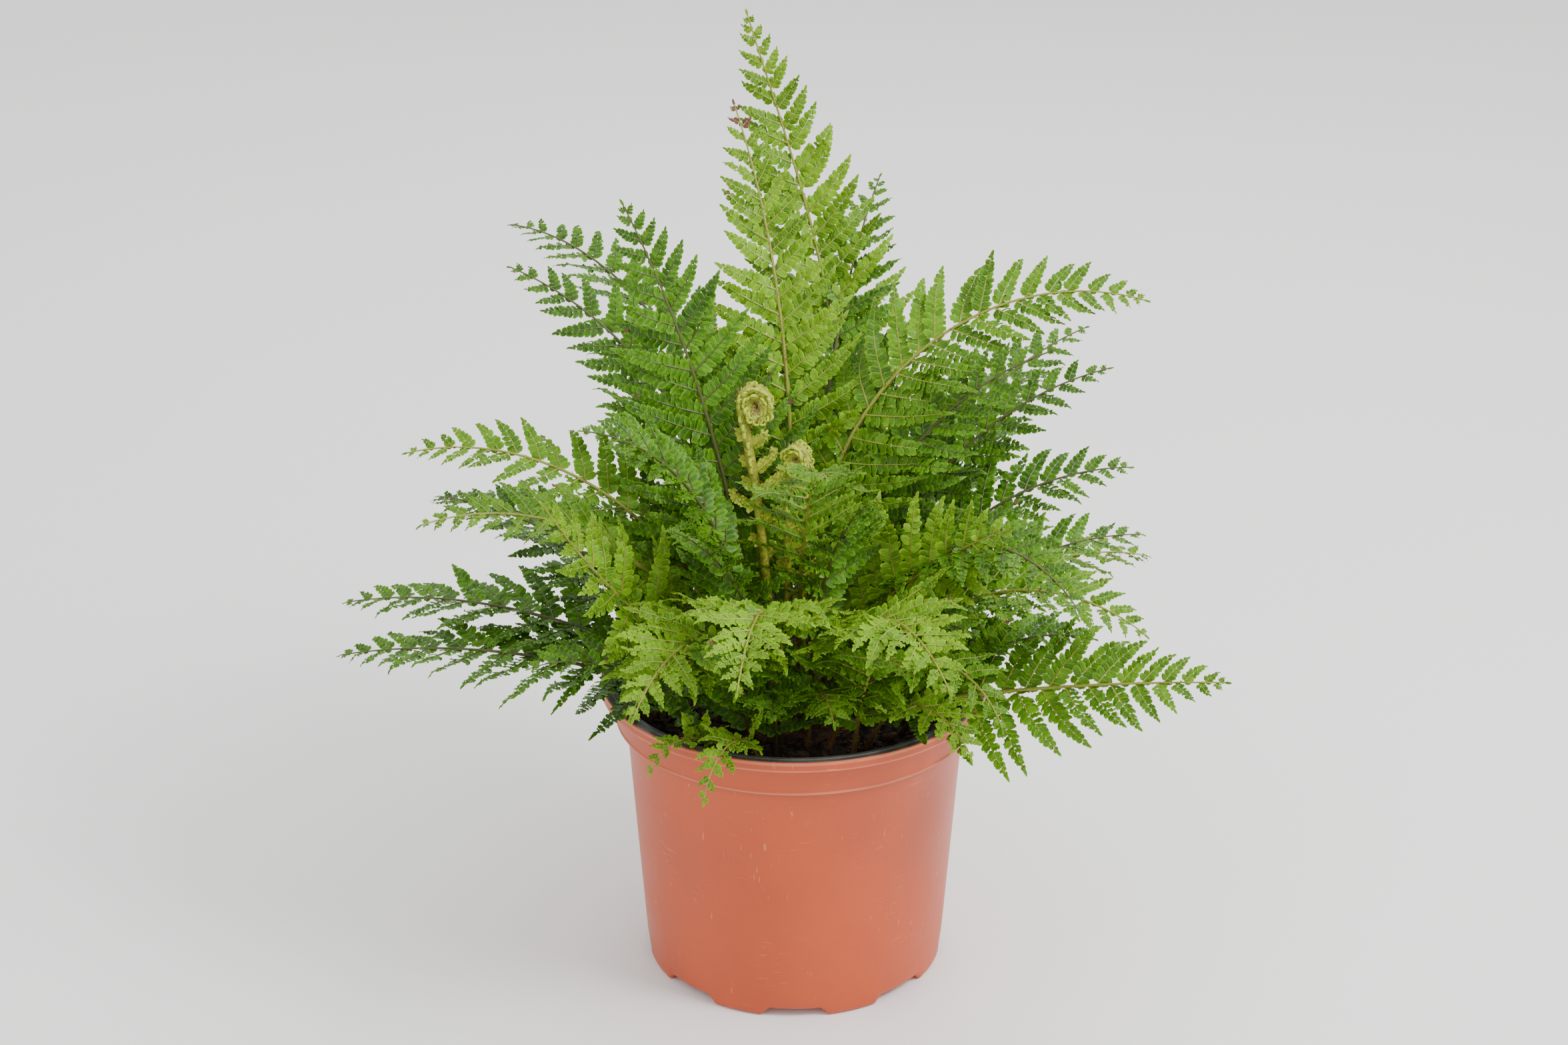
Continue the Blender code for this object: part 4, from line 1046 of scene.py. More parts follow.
def lay_out_pinnae(frond, bare, rng):
    """Shares of the blade and hands (1 or -1) of all pinnae: closer towards the tip, the two hands a
    third of a step apart."""
    blade = frond.length * (1.0 - bare)
    pairs = max(FEWEST_PAIRS, int(round(blade / PINNA_SPACING[frond.hue])))
    along = (np.arange(pairs) + 0.35) / pairs
    right = 1.0 - (1.0 - along) ** CROWDING
    left = 1.0 - (1.0 - np.minimum(along + 0.33 / pairs, 0.995)) ** CROWDING
    u = np.concatenate([right, left]) + rng.normal(0, 0.0035, 2 * pairs)
    hand = np.repeat([1.0, -1.0], pairs)
    return np.clip(u, 0.0, 0.985), hand, blade / pairs


# %% Pinnule shapes
PINNULE_Q = np.array([0.0, 0.19, 0.38, 0.57, 0.74, 0.89, 1.0])
PINNULE_BULGE = np.array([0.60, 0.93, 1.00, 0.97, 0.82, 0.57, 0.20])
TOOTH_LEFT = np.array([0.0, 0.09, -0.07, 0.08, -0.08, 0.09, 0.0])
TOOTH_RIGHT = np.array([0.0, -0.07, 0.09, -0.08, 0.08, -0.07, 0.0])
PINNULE_RINGS = len(PINNULE_Q)
LEAF_THICK = 0.13


def pinnule_rings(root, way, up, length, width, cup, droop, bend, rng):
    """Rings of four for every pinnule: left edge, upper middle, right edge, lower middle. At share q
    the half width is width / 2 * outline(q) * (1 + tooth(q)); the edges hang below the middle by cup;
    the middle line hangs by droop * q squared and bends sideways by bend * q squared."""
    count = len(root)
    side = unit(np.cross(up, way))
    q = PINNULE_Q
    teeth = rng.uniform(0.6, 1.5, (count, 1))
    left = width[:, None] / 2 * PINNULE_BULGE * (1.0 + TOOTH_LEFT * teeth)
    right = width[:, None] / 2 * PINNULE_BULGE * (1.0 + TOOTH_RIGHT * teeth)
    crisp = rng.normal(0, 0.11, (count, 2, len(q))) * width[:, None, None] * (q > 0)
    sink = (length[:, None] * q**2) * droop[:, None]
    middle = root[:, None] + way[:, None] * (length[:, None] * q)[..., None]
    sway = bend[:, None] * length[:, None] * q**2
    middle = middle - up[:, None] * sink[..., None] + side[:, None] * sway[..., None]
    thick = LEAF_THICK * MM
    hang_left = cup[:, None] * left + crisp[:, 0]
    hang_right = cup[:, None] * right + crisp[:, 1]
    edge_left = middle - side[:, None] * left[..., None] - up[:, None] * hang_left[..., None]
    edge_right = middle + side[:, None] * right[..., None] - up[:, None] * hang_right[..., None]
    top = middle + up[:, None] * (thick * 0.4)
    under = middle - up[:, None] * thick
    return np.stack([edge_left, top, edge_right, under], axis=2)


def between(curves, index, share):
    """Each pinna's array read at a share of its length, for pinna numbers index."""
    place = share * (PINNA_STEPS - 1)
    low = np.minimum(place.astype(int), PINNA_STEPS - 2)
    part = (place - low)[:, None]
    return curves[index, low] * (1.0 - part) + curves[index, low + 1] * part


SMALLEST_PINNULE = 0.5  # width of a pinnule on the shortest pinnae, as a share of the widest


def place_pinnules(points, ways, normals, hand, length, spacing, crisped, rng):
    """Rings of every pinnule of a frond, the number of each one's pinna, and where the pinnule is on
    its pinna."""
    share = np.clip(SMALLEST_PINNULE + length / (50.0 * MM), SMALLEST_PINNULE, 1.0)
    number = np.maximum(3, np.round(length / MM / (PINNULE_WIDTH * share))).astype(int)
    pinna = np.repeat(np.arange(len(number)), number)
    order = np.arange(number.sum()) - np.repeat(np.cumsum(number) - number, number)
    many = number[pinna]
    pinna, order, many = (np.concatenate([row, row]) for row in (pinna, order, many))
    turn = np.repeat([1.0, -1.0], number.sum())
    count = len(pinna)
    t = (order + 0.55 + 0.25 * (turn < 0)) / (many + 0.7)
    root, way = between(points, pinna, t), unit(between(ways, pinna, t))
    up = unit(between(normals, pinna, t))
    ahead = np.cross(up, way) * hand[pinna][:, None]
    slant = np.radians(80.0 - 26.0 * t + rng.normal(0, 4.0, count))
    axis = ahead * (turn * np.sin(slant))[:, None] + way * np.cos(slant)[:, None]
    rise = np.radians(rng.normal(4.0, 9.0 * crisped, count))
    cos, sin = np.cos(rise)[:, None], np.sin(rise)[:, None]
    axis, up = axis * cos + up * sin, up * cos - axis * sin
    tip = np.radians(rng.normal(7.0, 9.0 * crisped, count)) * turn * hand[pinna]
    side = np.cross(up, axis)
    up = unit(up * np.cos(tip)[:, None] + side * np.sin(tip)[:, None])
    reach = np.minimum(0.50 * spacing, 1.0 + 0.125 * length[pinna] / MM)
    profile = np.minimum(1.0, 0.86 + 1.2 * t) * (1.0 - t**2.0) ** 0.8
    long = reach * profile * MM * rng.uniform(0.92, 1.08, count) + 0.5 * MM
    step = length[pinna] / (many + 0.7)
    wide = step * 1.32 * (1.0 - 0.20 * t) * rng.uniform(0.94, 1.08, count)
    wide = np.minimum(wide, long * 1.25)
    cup = rng.normal(0.22, 0.14, count) * crisped
    droop = rng.normal(0.14, 0.09, count) * crisped
    bend = -turn * hand[pinna] * rng.uniform(0.02, 0.16, count)
    return pinnule_rings(root, axis, up, long, wide, cup, droop, bend, rng), pinna, t


# %% One frond
PINNA_SPACING = {"young": 11.0, "olive": 11.3, "old": 12.0}
LIGHT_TURN = {  # how far pinnae turn to the light, by the first word of the frond's name
    "under": 1.6,
    "core": 1.6,
    "inner": 1.0,
    "low": 1.2,
    "rim": 0.7,
    "small": 0.8,
    "front": 0.7,
    "edge": 1.2,
}
LIGHT_TURN_ELSEWHERE = 0.30
CRISPED = {"young": 1.25, "olive": 1.0, "old": 0.85}
DROOP = {"young": (14.0, 13.0), "olive": (20.0, 12.0), "old": (17.0, 10.0)}
LIFT_STEP = np.radians(9.0)
LEAFY_FROM = {"young": 0.74, "olive": 0.54, "old": 0.46}  # first pinna, next to the plain solid's
PAD_ACROSS = np.array([-1.0, 0.0, 1.0, 0.0])
HAIR_STATIONS = 3
HAIR_THICK = 0.06 * MM


def frond_parts(frond, seed):
    """What one frond is made from: its pinnules' rings, the pinnae's curves and lengths, and the
    stalk's curve, which build_frond turns into pinnules, pinna ribs and stalk.
    """
    rng = np.random.default_rng(seed)
    shape = (frond.bearing, frond.lean, frond.arch, frond.sway, frond.length)
    place, way = stem_curve(foot_point(frond), *shape)
    side, upper = blade_sides(way, frond.face, frond.roll)
    bare = frond.bare * LEAFY_FROM[frond.hue]
    u, hand, spacing = lay_out_pinnae(frond, bare, rng)
    shares = bare + u * (1.0 - bare)
    count = len(u)
    length = frond.pinna * pinna_share(u) * rng.uniform(0.93, 1.05, count) * MM
    length = np.maximum(length, 2.4 * MM)
    angle = PINNA_ANGLE + (PINNA_ANGLE_TIP - PINNA_ANGLE) * u
    angle = np.radians(angle + rng.normal(0, 3.0, count))
    sweep = np.radians(rng.uniform(4.0, 20.0, count))
    mean_droop, spread = DROOP[frond.hue]
    droop = np.radians(rng.normal(mean_droop, spread, count))
    crisped = CRISPED[frond.hue]
    wave = [
        np.radians(rng.normal(0, 14.0, count)) * crisped,
        rng.uniform(0.8, 1.7, count),
        rng.random(count),
    ]
    wave = np.stack(wave, axis=1)
    lift = np.radians(rng.normal(7.0, 6.0, count))
    light_turn = LIGHT_TURN.get(frond.name.split("_")[0], LIGHT_TURN_ELSEWHERE)
    roots, ways, sides, uppers = (at(shares, row) for row in (place, way, side, upper))
    ways, sides, uppers = unit(ways), unit(sides), unit(uppers)
    for _ in range(CLEARING_ROUNDS):
        bends = (angle, sweep, droop, wave, lift, length)
        curves = pinna_curves(roots, ways, sides, uppers, hand, *bends)
        points, along = curves[:2]
        normals = seek_light(*curves, light_turn)
        wing = np.cross(normals, along) * (spacing * 0.55 * MM)
        body = np.stack([points - wing, points, points + wing], axis=1)
        low = (pot_clearance(body) - body[..., 2]).max(axis=(1, 2)) > 0
        if not low.any():
            break
        lift = lift + LIFT_STEP * low
        droop = droop * np.where(low, 0.6, 1.0)
    twist = np.radians(rng.normal(0, 13.0, count) * crisped)
    twist = twist[:, None] * np.linspace(0, 1, PINNA_STEPS)
    sideways = np.cross(normals, along)
    normals = normals * np.cos(twist)[..., None] + sideways * np.sin(twist)[..., None]
    pinnae = (points, along, normals, hand, length)
    rings, pinna, t = place_pinnules(*pinnae, spacing, crisped, rng)
    end_rings, end_u = tip_pinnules(points, along, normals, length, place, way, upper, rng)
    return rng, rings, pinna, t, end_rings, end_u, points, length, place, way, u


def tip_pinnules(points, along, normals, length, place, way, upper, rng):
    """The pinnule that ends each pinna, and the one that ends the frond."""
    count = len(points) + 1
    root = np.concatenate([points[:, -3], place[-1:]])
    axis = unit(np.concatenate([along[:, -2], way[-1:]]))
    up = np.concatenate([normals[:, -2], upper[-1:]])
    up = unit(up - np.sum(up * axis, axis=-1, keepdims=True) * axis)
    reach = np.concatenate([0.10 * length + 1.0 * MM, [3.0 * MM]])
    width = np.minimum(reach * 0.42, 1.7 * MM)
    cup, droop = rng.normal(0.2, 0.1, count), rng.normal(0.2, 0.15, count)
    bend = rng.normal(0, 0.05, count)
    return pinnule_rings(root, axis, up, reach, width, cup, droop, bend, rng), count


def build_frond(frond, number, finishes):
    """One frond as one piece, in the place of its plain solid."""
    made = frond_parts(frond, 100 + number)
    rng, rings, pinna, t, end_rings, end_count, points, length, place, way, u = made
    everything = np.concatenate([rings, end_rings])
    count, per = len(everything), PINNULE_RINGS * 4
    leaf_u = np.concatenate([u[pinna], u, [1.0]])
    leaf_t = np.concatenate([t, np.ones(end_count)])
    across = np.broadcast_to(PAD_ACROSS, (count, PINNULE_RINGS, 4))
    along = np.broadcast_to(PINNULE_Q[None, :, None], (count, PINNULE_RINGS, 4))
    on_pinna = np.broadcast_to(leaf_t[:, None, None], (count, PINNULE_RINGS, 4))
    spot = np.stack([across, along, on_pinna], axis=-1)
    pinna_tint = rng.random(len(u) + 1)
    owner = np.concatenate([pinna, np.arange(end_count)])
    tint = 0.55 * pinna_tint[owner] + 0.45 * rng.random(count)
    life = np.stack([tint, wither_of(frond, leaf_u, leaf_t, rng), leaf_u], axis=-1)
    leaf_values = {"leaf_place": spot.reshape(-1, 3), "leaf_life": np.repeat(life, per, axis=0)}
    leaf_loft = loft(everything, BLADE_ACROSS, grid_cells(count, 0, 0.14, 1, 0.86))

    rib_share = np.linspace(0.0, 0.97, RIB_STATIONS)
    index = np.rint(rib_share * (PINNA_STEPS - 1)).astype(int)
    rib_size = np.minimum(1.0, 0.35 + length[:, None] / (40 * MM))
    rib_radius = (0.16 + 0.34 * (1.0 - rib_share)) * rib_size * MM
    rib_rings = tube(points[:, index], rib_radius, 4)
    rib_cells = grid_cells(len(rib_rings), 0, 0.07, 1, 0.06)
    rib_loft = loft(rib_rings, np.linspace(0, 1, 5), rib_cells)
    rib_values = {"leaf_life": rib_life(u, rib_rings)}

    stalk_loft, stalk_values = stalk_of(frond, place, way)
    parts = [(leaf_loft, 0, leaf_values), (rib_loft, 1, rib_values), (stalk_loft, 1, stalk_values)]
    if frond.hue != "old":
        scale_loft, scale_values = stalk_scales(frond, place, way, rng)
        parts.append((scale_loft, 2, scale_values))
    piece = build_piece(frond.name + "_leaf", parts, finishes, sharp=70.0)
    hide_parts(frond.name)
    return piece


def rib_life(u, rings):
    """The finish's numbers on the pinna ribs: share along the frond, and share along the rib."""
    share = np.broadcast_to(np.linspace(0, 1, rings.shape[1])[None, :, None], rings.shape[:3])
    frond_share = np.broadcast_to(0.6 + 0.4 * u[:, None, None], rings.shape[:3])
    return np.stack([share, np.zeros(rings.shape[:3]), frond_share], axis=-1).reshape(-1, 3)


def wither_of(frond, u, t, rng):
    """How far each pinnule has withered, 0 to 1: the tips of a few pinnae, and a dry frond tip."""
    dry_tip = {"brown_tip_frond": 0.90, "left_upper_frond": 0.97}.get(frond.name, 1.1)
    tip = smooth(u, dry_tip, dry_tip + 0.05)
    spots = (rng.random(len(u)) < 0.012) * rng.uniform(0.3, 0.9, len(u))
    return np.maximum(tip, spots * smooth(t, 0.5, 1.0))


def stalk_of(frond, place, way):
    """The stalk and midrib: one tube from inside the crown to the frond's tip."""
    down = place[0] - way[0] * FOOT_DEPTH * MM
    shares = np.linspace(0.0, 1.0, STALK_STATIONS)
    path = np.concatenate([[down], at(shares, place)])
    radius = stalk_radius(frond, np.concatenate([[0.0], shares])) * MM
    radius[:4] *= [1.35, 1.22, 1.1, 1.03]
    rings = tube(path[None], radius[None], STALK_SIDES)
    made = loft(rings, np.linspace(0, 1, STALK_SIDES + 1), map_cell(0.0, 0.0, 0.6, 0.06))
    share = np.repeat(np.concatenate([[0.0], shares]), STALK_SIDES)
    angle = np.tile(np.cos(np.arange(STALK_SIDES) * 2 * np.pi / STALK_SIDES), len(path))
    life = np.stack([np.zeros_like(share), angle, share], axis=-1)
    return made, {"leaf_life": life}


def stalk_scales(frond, place, way, rng):
    """Ginger scales on a young stalk: thickest near its foot, fewer up the midrib."""
    count = int(frond.length * 1.1)
    share = rng.random(count) ** 1.7 * 0.92
    root, axis = at(share, place), unit(at(share, way))
    out = unit(np.cross(axis, rng.normal(0, 1, (count, 3))))
    root = root + out * (stalk_radius(frond, share) * 0.85 * MM)[:, None]
    splay = rng.uniform(0.25, 1.2, count)[:, None]
    blade_way = unit(axis + out * splay)
    up = unit(np.cross(blade_way, np.cross(axis, out)))
    long = rng.uniform(1.1, 3.4, count) * (1.0 - 0.5 * share) * MM
    curl = rng.uniform(-0.3, 0.3, count)
    rings = blades(root, blade_way, up, long, long * 0.26, HAIR_THICK, curl, HAIR_STATIONS)
    made = loft(rings, BLADE_ACROSS, grid_cells(count, 0.62, 0.0, 0.38, 0.06))
    return made, {"clod_shade": shade_of(count, HAIR_STATIONS * 4, rng)}


# %% [markdown]
# ### Leaf finishes
#
# A pinnule is not one green. Its margin is paler, a fine rib runs down its middle with side veins
# that fork from it, and every pinnule and every pinna has its own tint. The attribute leaf_place
# gives the place on the pinnule: across from -1 to 1, along from 0 to 1, and the place on its pinna.
# leaf_life gives its tint, how withered it is, and its place on the frond.


# %% Leaf materials
def leaf(name, deep, bright, margin, rib, roughness):
    """Fern leaf: tint from dark to bright, a pale margin, a rib and forked veins, brown if withered."""
    finish = Finish(name, roughness)
    finish.shader.inputs["Specular IOR Level"].default_value = 0.30
    across, along = finish.attribute("leaf_place")[:2]
    tint, wither = finish.attribute("leaf_life")[:2]
    off_middle = finish.math("ABSOLUTE", across)
    blotch = finish.noise(150.0, detail=3.0)
    own, blotches = finish.math("MULTIPLY", tint, 0.65), finish.math("MULTIPLY", blotch, 0.55)
    share = finish.math("SUBTRACT", finish.math("ADD", own, blotches), 0.12)
    colour = finish.mix(finish.steps(share, 0.1, 0.95), deep, bright)
    edge = finish.math("MAXIMUM", off_middle, finish.math("MULTIPLY", along, 0.93))
    edge = finish.steps(edge, 0.55, 1.0)
    colour = finish.over(colour, edge, 0.62, margin)
    up, out = finish.math("MULTIPLY", along, 5.5), finish.math("MULTIPLY", off_middle, 1.3)
    slant = finish.math("MULTIPLY", finish.math("SUBTRACT", up, out), 3.1416)
    vein = finish.math("ABSOLUTE", finish.math("SINE", slant))
    vein = finish.steps(vein, 0.30, 0.0)
    middle = finish.steps(off_middle, 0.16, 0.04)
    veins = finish.math("MAXIMUM", finish.math("MULTIPLY", vein, 0.45), middle)
    colour = finish.over(colour, veins, 0.55, rib)
    fade = finish.steps(finish.noise(420.0, detail=4.0, seed=2.0), 0.62, 0.80)
    colour = finish.over(colour, fade, 0.20, margin)
    dry = finish.math("ADD", wither, finish.math("MULTIPLY", blotch, 0.25))
    dry = finish.steps(dry, 0.30, 0.75)
    finish.colour(finish.mix(dry, colour, rgb(0.13, 0.055, 0.030)))
    finish.rough(finish.steps_to(blotch, roughness - 0.08, roughness + 0.10))
    finish.bump(finish.math("SUBTRACT", 1.0, veins), 0.55, 0.00035)
    finish.bump(finish.noise(1300.0, detail=2.0), 0.25, 0.00015)
    return finish.material


def stalk(name, foot, top):
    """A stalk's skin: brown at the foot, green or straw further up, with fine lines along it."""
    finish = Finish(name, 0.5)
    share = finish.attribute("leaf_life")[2]
    mottle = finish.noise(220.0, detail=4.0, stretch=(1.0, 1.0, 0.25))
    up = finish.math("ADD", share, finish.math("MULTIPLY", mottle, 0.3))
    colour = finish.mix(finish.steps(up, 0.12, 0.55), foot, top)
    line = finish.steps(finish.noise(900.0, detail=2.0, stretch=(1.0, 1.0, 0.06)), 0.45, 0.7)
    colour = finish.over(colour, line, 0.35, foot)
    finish.colour(colour)
    finish.bump(line, 0.35, 0.0003)
    return finish.material


YOUNG = leaf(
    "young_leaf_green",
    rgb(0.045, 0.150, 0.0005),
    rgb(0.185, 0.395, 0.0005),
    rgb(0.31, 0.53, 0.003),
    rgb(0.22, 0.33, 0.004),
    0.48,
)
OLIVE = leaf(
    "olive_leaf_green",
    rgb(0.028, 0.105, 0.0005),
    rgb(0.125, 0.310, 0.0005),
    rgb(0.21, 0.42, 0.004),
    rgb(0.13, 0.24, 0.003),
    0.46,
)
OLD = leaf(
    "old_leaf_green",
    rgb(0.019, 0.080, 0.0005),
    rgb(0.100, 0.280, 0.001),
    rgb(0.175, 0.37, 0.006),
    rgb(0.030, 0.075, 0.001),
    0.44,
)
STALK_YOUNG = stalk("young_stalk", rgb(0.17, 0.085, 0.025), rgb(0.24, 0.27, 0.030))
STALK_OLD = stalk("old_stalk", rgb(0.060, 0.032, 0.014), rgb(0.080, 0.090, 0.018))
LEAF_FINISHES = {
    "young": [YOUNG, STALK_YOUNG, PAPERY],
    "olive": [OLIVE, STALK_YOUNG, PAPERY],
    "old": [OLD, STALK_OLD, PAPERY],
}

# %% Grow the fronds
counts = []
for number, row in enumerate(FRONDS):
    counts.append(triangles(build_frond(row, number, LEAF_FINISHES[row.hue])))
print("frond triangles:", sum(counts), "most in one:", max(counts))

# %% [markdown]
# ## The croziers
#
# A new frond comes up rolled into a crozier, or fiddlehead: a thick hairy stem whose tip is wound
# into a spiral. The spiral's radius shrinks as it winds, and the young pinnae stand along it as small
# hooks of their own. Lower on the stem, some pinnae have half unrolled already. Golden scales cover
# all of it. The stem follows the same rule as a frond's.

# %% Crozier table and coil
Crozier = namedtuple(
    "Crozier",
    "name foot_angle foot bearing lean arch length radius coil turns plane",
)
CROZIERS = [
    Crozier("tall_crozier", 215, 12, 180, 3, 8, 148, 2.3, 7.0, 1.25, 0),
    Crozier("small_crozier", 235, 6, 270, 3, 5, 126, 1.8, 5.2, 1.25, 330),
    Crozier("low_crozier", 300, 4, 295, 5, 15, 70, 2.0, 6.0, 1.2, 340),
]
# Half-unrolled pinnae: share of the way up the stem, side (1 is the coil's side) and length in mm.
SIDE_CURLS = [
    (0.50, 1, 10.0),
    (0.55, -1, 9.0),
    (0.62, 1, 27.0),
    (0.67, -1, 21.0),
    (0.71, 1, 25.0),
    (0.75, -1, 9.0),
    (0.79, 1, 21.0),
    (0.83, -1, 8.0),
    (0.88, 1, 17.0),
    (0.92, -1, 7.0),
    (0.95, 1, 12.0),
]
COIL_SHRINK = 0.80
COIL_TURNS = 2.1
COIL_TALL = 1.35  # height of the coil, next to its width
CROZIER_SIDES = 10
COIL_STATIONS = 90
STEM_STATIONS = 70
STEM_SHARE = 1.05  # the detailed stem's radius next to the plain solid's
HOOK_STATIONS = 12
HOOK_TURNS = 1.25


def crozier_path(crozier):
    """The stem, then the spiral: centre - outward r cos(w) + along COIL_TALL r sin(w). The radius r
    falls from the coil's size as the angle w winds on, and the tube swells there and then thins.
    Gives the path, the tube's radius, the direction the coil turns about, and its centre."""
    start = foot_point(crozier)
    stem, ways = stem_curve(start, crozier.bearing, crozier.lean, crozier.arch, 0.0, crozier.length)
    turn = np.radians(crozier.plane)
    across = np.array([np.cos(turn), np.sin(turn), 0.0])
    square_on = np.cross(across, [0.0, 0.0, 1.0])
    along = unit(ways[-1] - (ways[-1] @ square_on) * square_on)
    outward = unit(across - (across @ along) * along)
    wind = np.linspace(0.0, 1.0, COIL_STATIONS + 1)[1:]
    swing = wind * COIL_TURNS * 2 * np.pi
    size = crozier.coil * (1.0 - COIL_SHRINK * wind**0.8) * MM
    centre = stem[-1] + outward * crozier.coil * MM
    coil = centre - outward * (size * np.cos(swing))[:, None]
    coil = coil + along * (size * COIL_TALL * np.sin(swing))[:, None]
    stem_part = at(np.linspace(0.0, 1.0, STEM_STATIONS)[:-1], stem)
    foot = start - ways[0] * FOOT_DEPTH * MM
    path = np.concatenate([[foot], stem_part, coil])
    fat = 1.0 + 0.45 * np.sin(np.pi * np.minimum(wind * 1.4, 1.0)) - 0.30 * wind
    taper = np.concatenate([[0.8], np.linspace(0.8, 1.0, STEM_STATIONS - 1), fat])
    return path, taper * crozier.radius * MM * STEM_SHARE, np.cross(outward, along), centre


def small_coils(path, radius, flat, centre, rng):
    """The young pinnae: short hooks that leave the stem's top and the coil on both sides and roll up
    inwards. Each is an arc whose radius shrinks as it turns, in its own tilted plane."""
    first = len(path) - COIL_STATIONS - 14
    roots = np.repeat(np.arange(first, len(path) - 8, 2), 2)
    hand = np.tile([1.0, -1.0], len(roots) // 2)
    count = len(roots)
    way = unit(path[roots] - path[roots - 1])
    away = unit(path[roots] - centre)
    start = path[roots] + flat * (hand * radius[roots] * 0.6)[:, None]
    out = unit(flat * hand[:, None] * 0.8 + away * 0.7)
    wind = np.linspace(0.0, 1.0, HOOK_STATIONS)
    size = rng.uniform(1.2, 2.2, count)[:, None] * (1.0 - 0.6 * wind) * MM
    swing = wind * HOOK_TURNS * 2 * np.pi
    middle = start + out * size[:, :1] + rng.normal(0, 0.5 * MM, (count, 3))
    hooks = middle[:, None] - unit(out)[:, None] * (size * np.cos(swing))[..., None]
    hooks = hooks + unit(way)[:, None] * (size * np.sin(swing))[..., None]
    thick = np.broadcast_to(0.85 * (1.0 - 0.5 * wind) * MM, (count, HOOK_STATIONS))
    return tube(hooks, thick, 5)


def side_curls(crozier, path, radius, flat, rng):
    """The lowest young pinnae, already half unrolled: each leaves the stem sideways and up, and its
    tip still turns over in a hook. Its angle from sideways grows gently for two thirds of its length
    and then by a whole turn. Gives the paths, their ribs' radii and small lobes on both edges."""
    share, hand, long = (np.array(column) for column in zip(*SIDE_CURLS))
    long = long * crozier.length / CROZIERS[0].length
    stem = path[: len(path) - COIL_STATIONS]
    start, along = at(share, stem), unit(at(share, np.gradient(stem, axis=0)))
    outward = unit(np.cross(along, flat)) * hand[:, None]
    t = np.linspace(0.0, 1.0, PINNA_STEPS)
    rise = np.radians(28.0 + 22.0 * t + 330.0 * np.clip((t - 0.62) / 0.38, 0.0, 1.0) ** 1.25)
    ways = outward[:, None] * np.cos(rise)[:, None] + along[:, None] * np.sin(rise)[:, None]
    ways = unit(ways + flat * rng.normal(0, 0.16, len(share))[:, None, None])
    steps = ways[:, :-1] * (long * MM / (PINNA_STEPS - 1))[:, None, None]
    points = np.concatenate([start[:, None], start[:, None] + np.cumsum(steps, axis=1)], axis=1)
    normals = unit(flat - np.sum(flat * ways, axis=-1, keepdims=True) * ways) * hand[:, None, None]
    number = np.maximum(4, np.round(long / 1.9)).astype(int)
    curl = np.repeat(np.arange(len(number)), number)
    order = np.arange(number.sum()) - np.repeat(np.cumsum(number) - number, number)
    spot = 0.10 + 0.74 * (order + 0.5) / number[curl]
    curl, spot = np.tile(curl, 2), np.tile(spot, 2)
    edge = np.repeat([1.0, -1.0], number.sum())
    root, way = between(points, curl, spot), unit(between(ways, curl, spot))
    up = unit(between(normals, curl, spot))
    axis = unit(np.cross(up, way) * edge[:, None] + way * 0.45)
    size = (0.9 + 2.9 * (1.0 - spot) ** 0.8) * MM * rng.uniform(0.8, 1.15, len(spot))
    up = unit(up + axis * rng.normal(0, 0.45, len(spot))[:, None])
    up = unit(up - np.sum(up * axis, axis=-1, keepdims=True) * axis)
    cup, droop = rng.normal(0.35, 0.15, len(spot)), rng.normal(0.3, 0.2, len(spot))
    lobes = pinnule_rings(root, axis, up, size, size * 0.85, cup, droop, cup * 0.0, rng)
    thick = (0.75 - 0.50 * t) * MM * np.minimum(1.0, 0.5 + long[:, None] / 30.0)
    return points, thick, lobes


def hairs(path, radius, count, rng):
    """Golden scales and hairs all over a path: thin blades that lean forwards and outwards. Gives
    their rings, and each one's share of the way along the path."""
    index = rng.integers(2, len(path) - 2, count)
    axis = unit(path[index + 1] - path[index - 1])
    out = unit(np.cross(axis, rng.normal(0, 1, (count, 3))))
    step = (path[index + 1] - path[index]) * rng.random((count, 1))
    root = path[index] + step + out * (radius[index] * 0.9)[:, None]
    way = unit(axis * rng.uniform(0.5, 1.4, (count, 1)) + out)
    up = unit(np.cross(way, np.cross(axis, out)))
    long = rng.uniform(1.3, 3.4, count) * MM
    curl = rng.uniform(-0.5, 0.3, count)
    rings = blades(root, way, up, long, long * 0.15, HAIR_THICK, curl, HAIR_STATIONS)
    return rings, index / len(path)


# %% Crozier finishes and pieces
def golden_stem():
    """A crozier's skin: yellow-green under gold."""
    finish = Finish("golden_stem", 0.6)
    mottle = finish.noise(300.0, detail=5.0, roughness=0.65)
    share = finish.steps(mottle, 0.35, 0.68)
    colour = finish.mix(share, rgb(0.20, 0.25, 0.012), rgb(0.50, 0.50, 0.055))
    specks = finish.steps(finish.noise(850.0, detail=2.0, seed=3.0), 0.60, 0.68)
    finish.colour(finish.over(colour, specks, 0.6, rgb(0.20, 0.11, 0.035)))
    finish.bump(mottle, 0.6, 0.0005)
    return finish.material


def golden_hair():
    """The hairs: straw and gold, each its own."""
    finish = Finish("golden_hair", 0.55)
    shade = finish.attribute("clod_shade")[0]
    grain = finish.noise(1200.0, detail=2.0)
    colour = finish.mix(shade, rgb(0.19, 0.100, 0.025), rgb(0.82, 0.72, 0.25))
    finish.colour(finish.over(colour, grain, 0.4, rgb(0.30, 0.19, 0.06)))
    return finish.material


def soft_cover():
    """The rolled pinnae: felted green gold."""
    finish = Finish("rolled_pinna", 0.7)
    felt = finish.noise(1000.0, detail=4.0, roughness=0.7)
    share = finish.steps(felt, 0.3, 0.7)
    finish.colour(finish.mix(share, rgb(0.26, 0.37, 0.008), rgb(0.62, 0.68, 0.070)))
    finish.bump(felt, 0.7, 0.0004)
    return finish.material


CROZIER_FINISHES = [golden_stem(), soft_cover(), golden_hair()]
HAIRS_PER_MM = 9
HAIRS_PER_CURL = 28


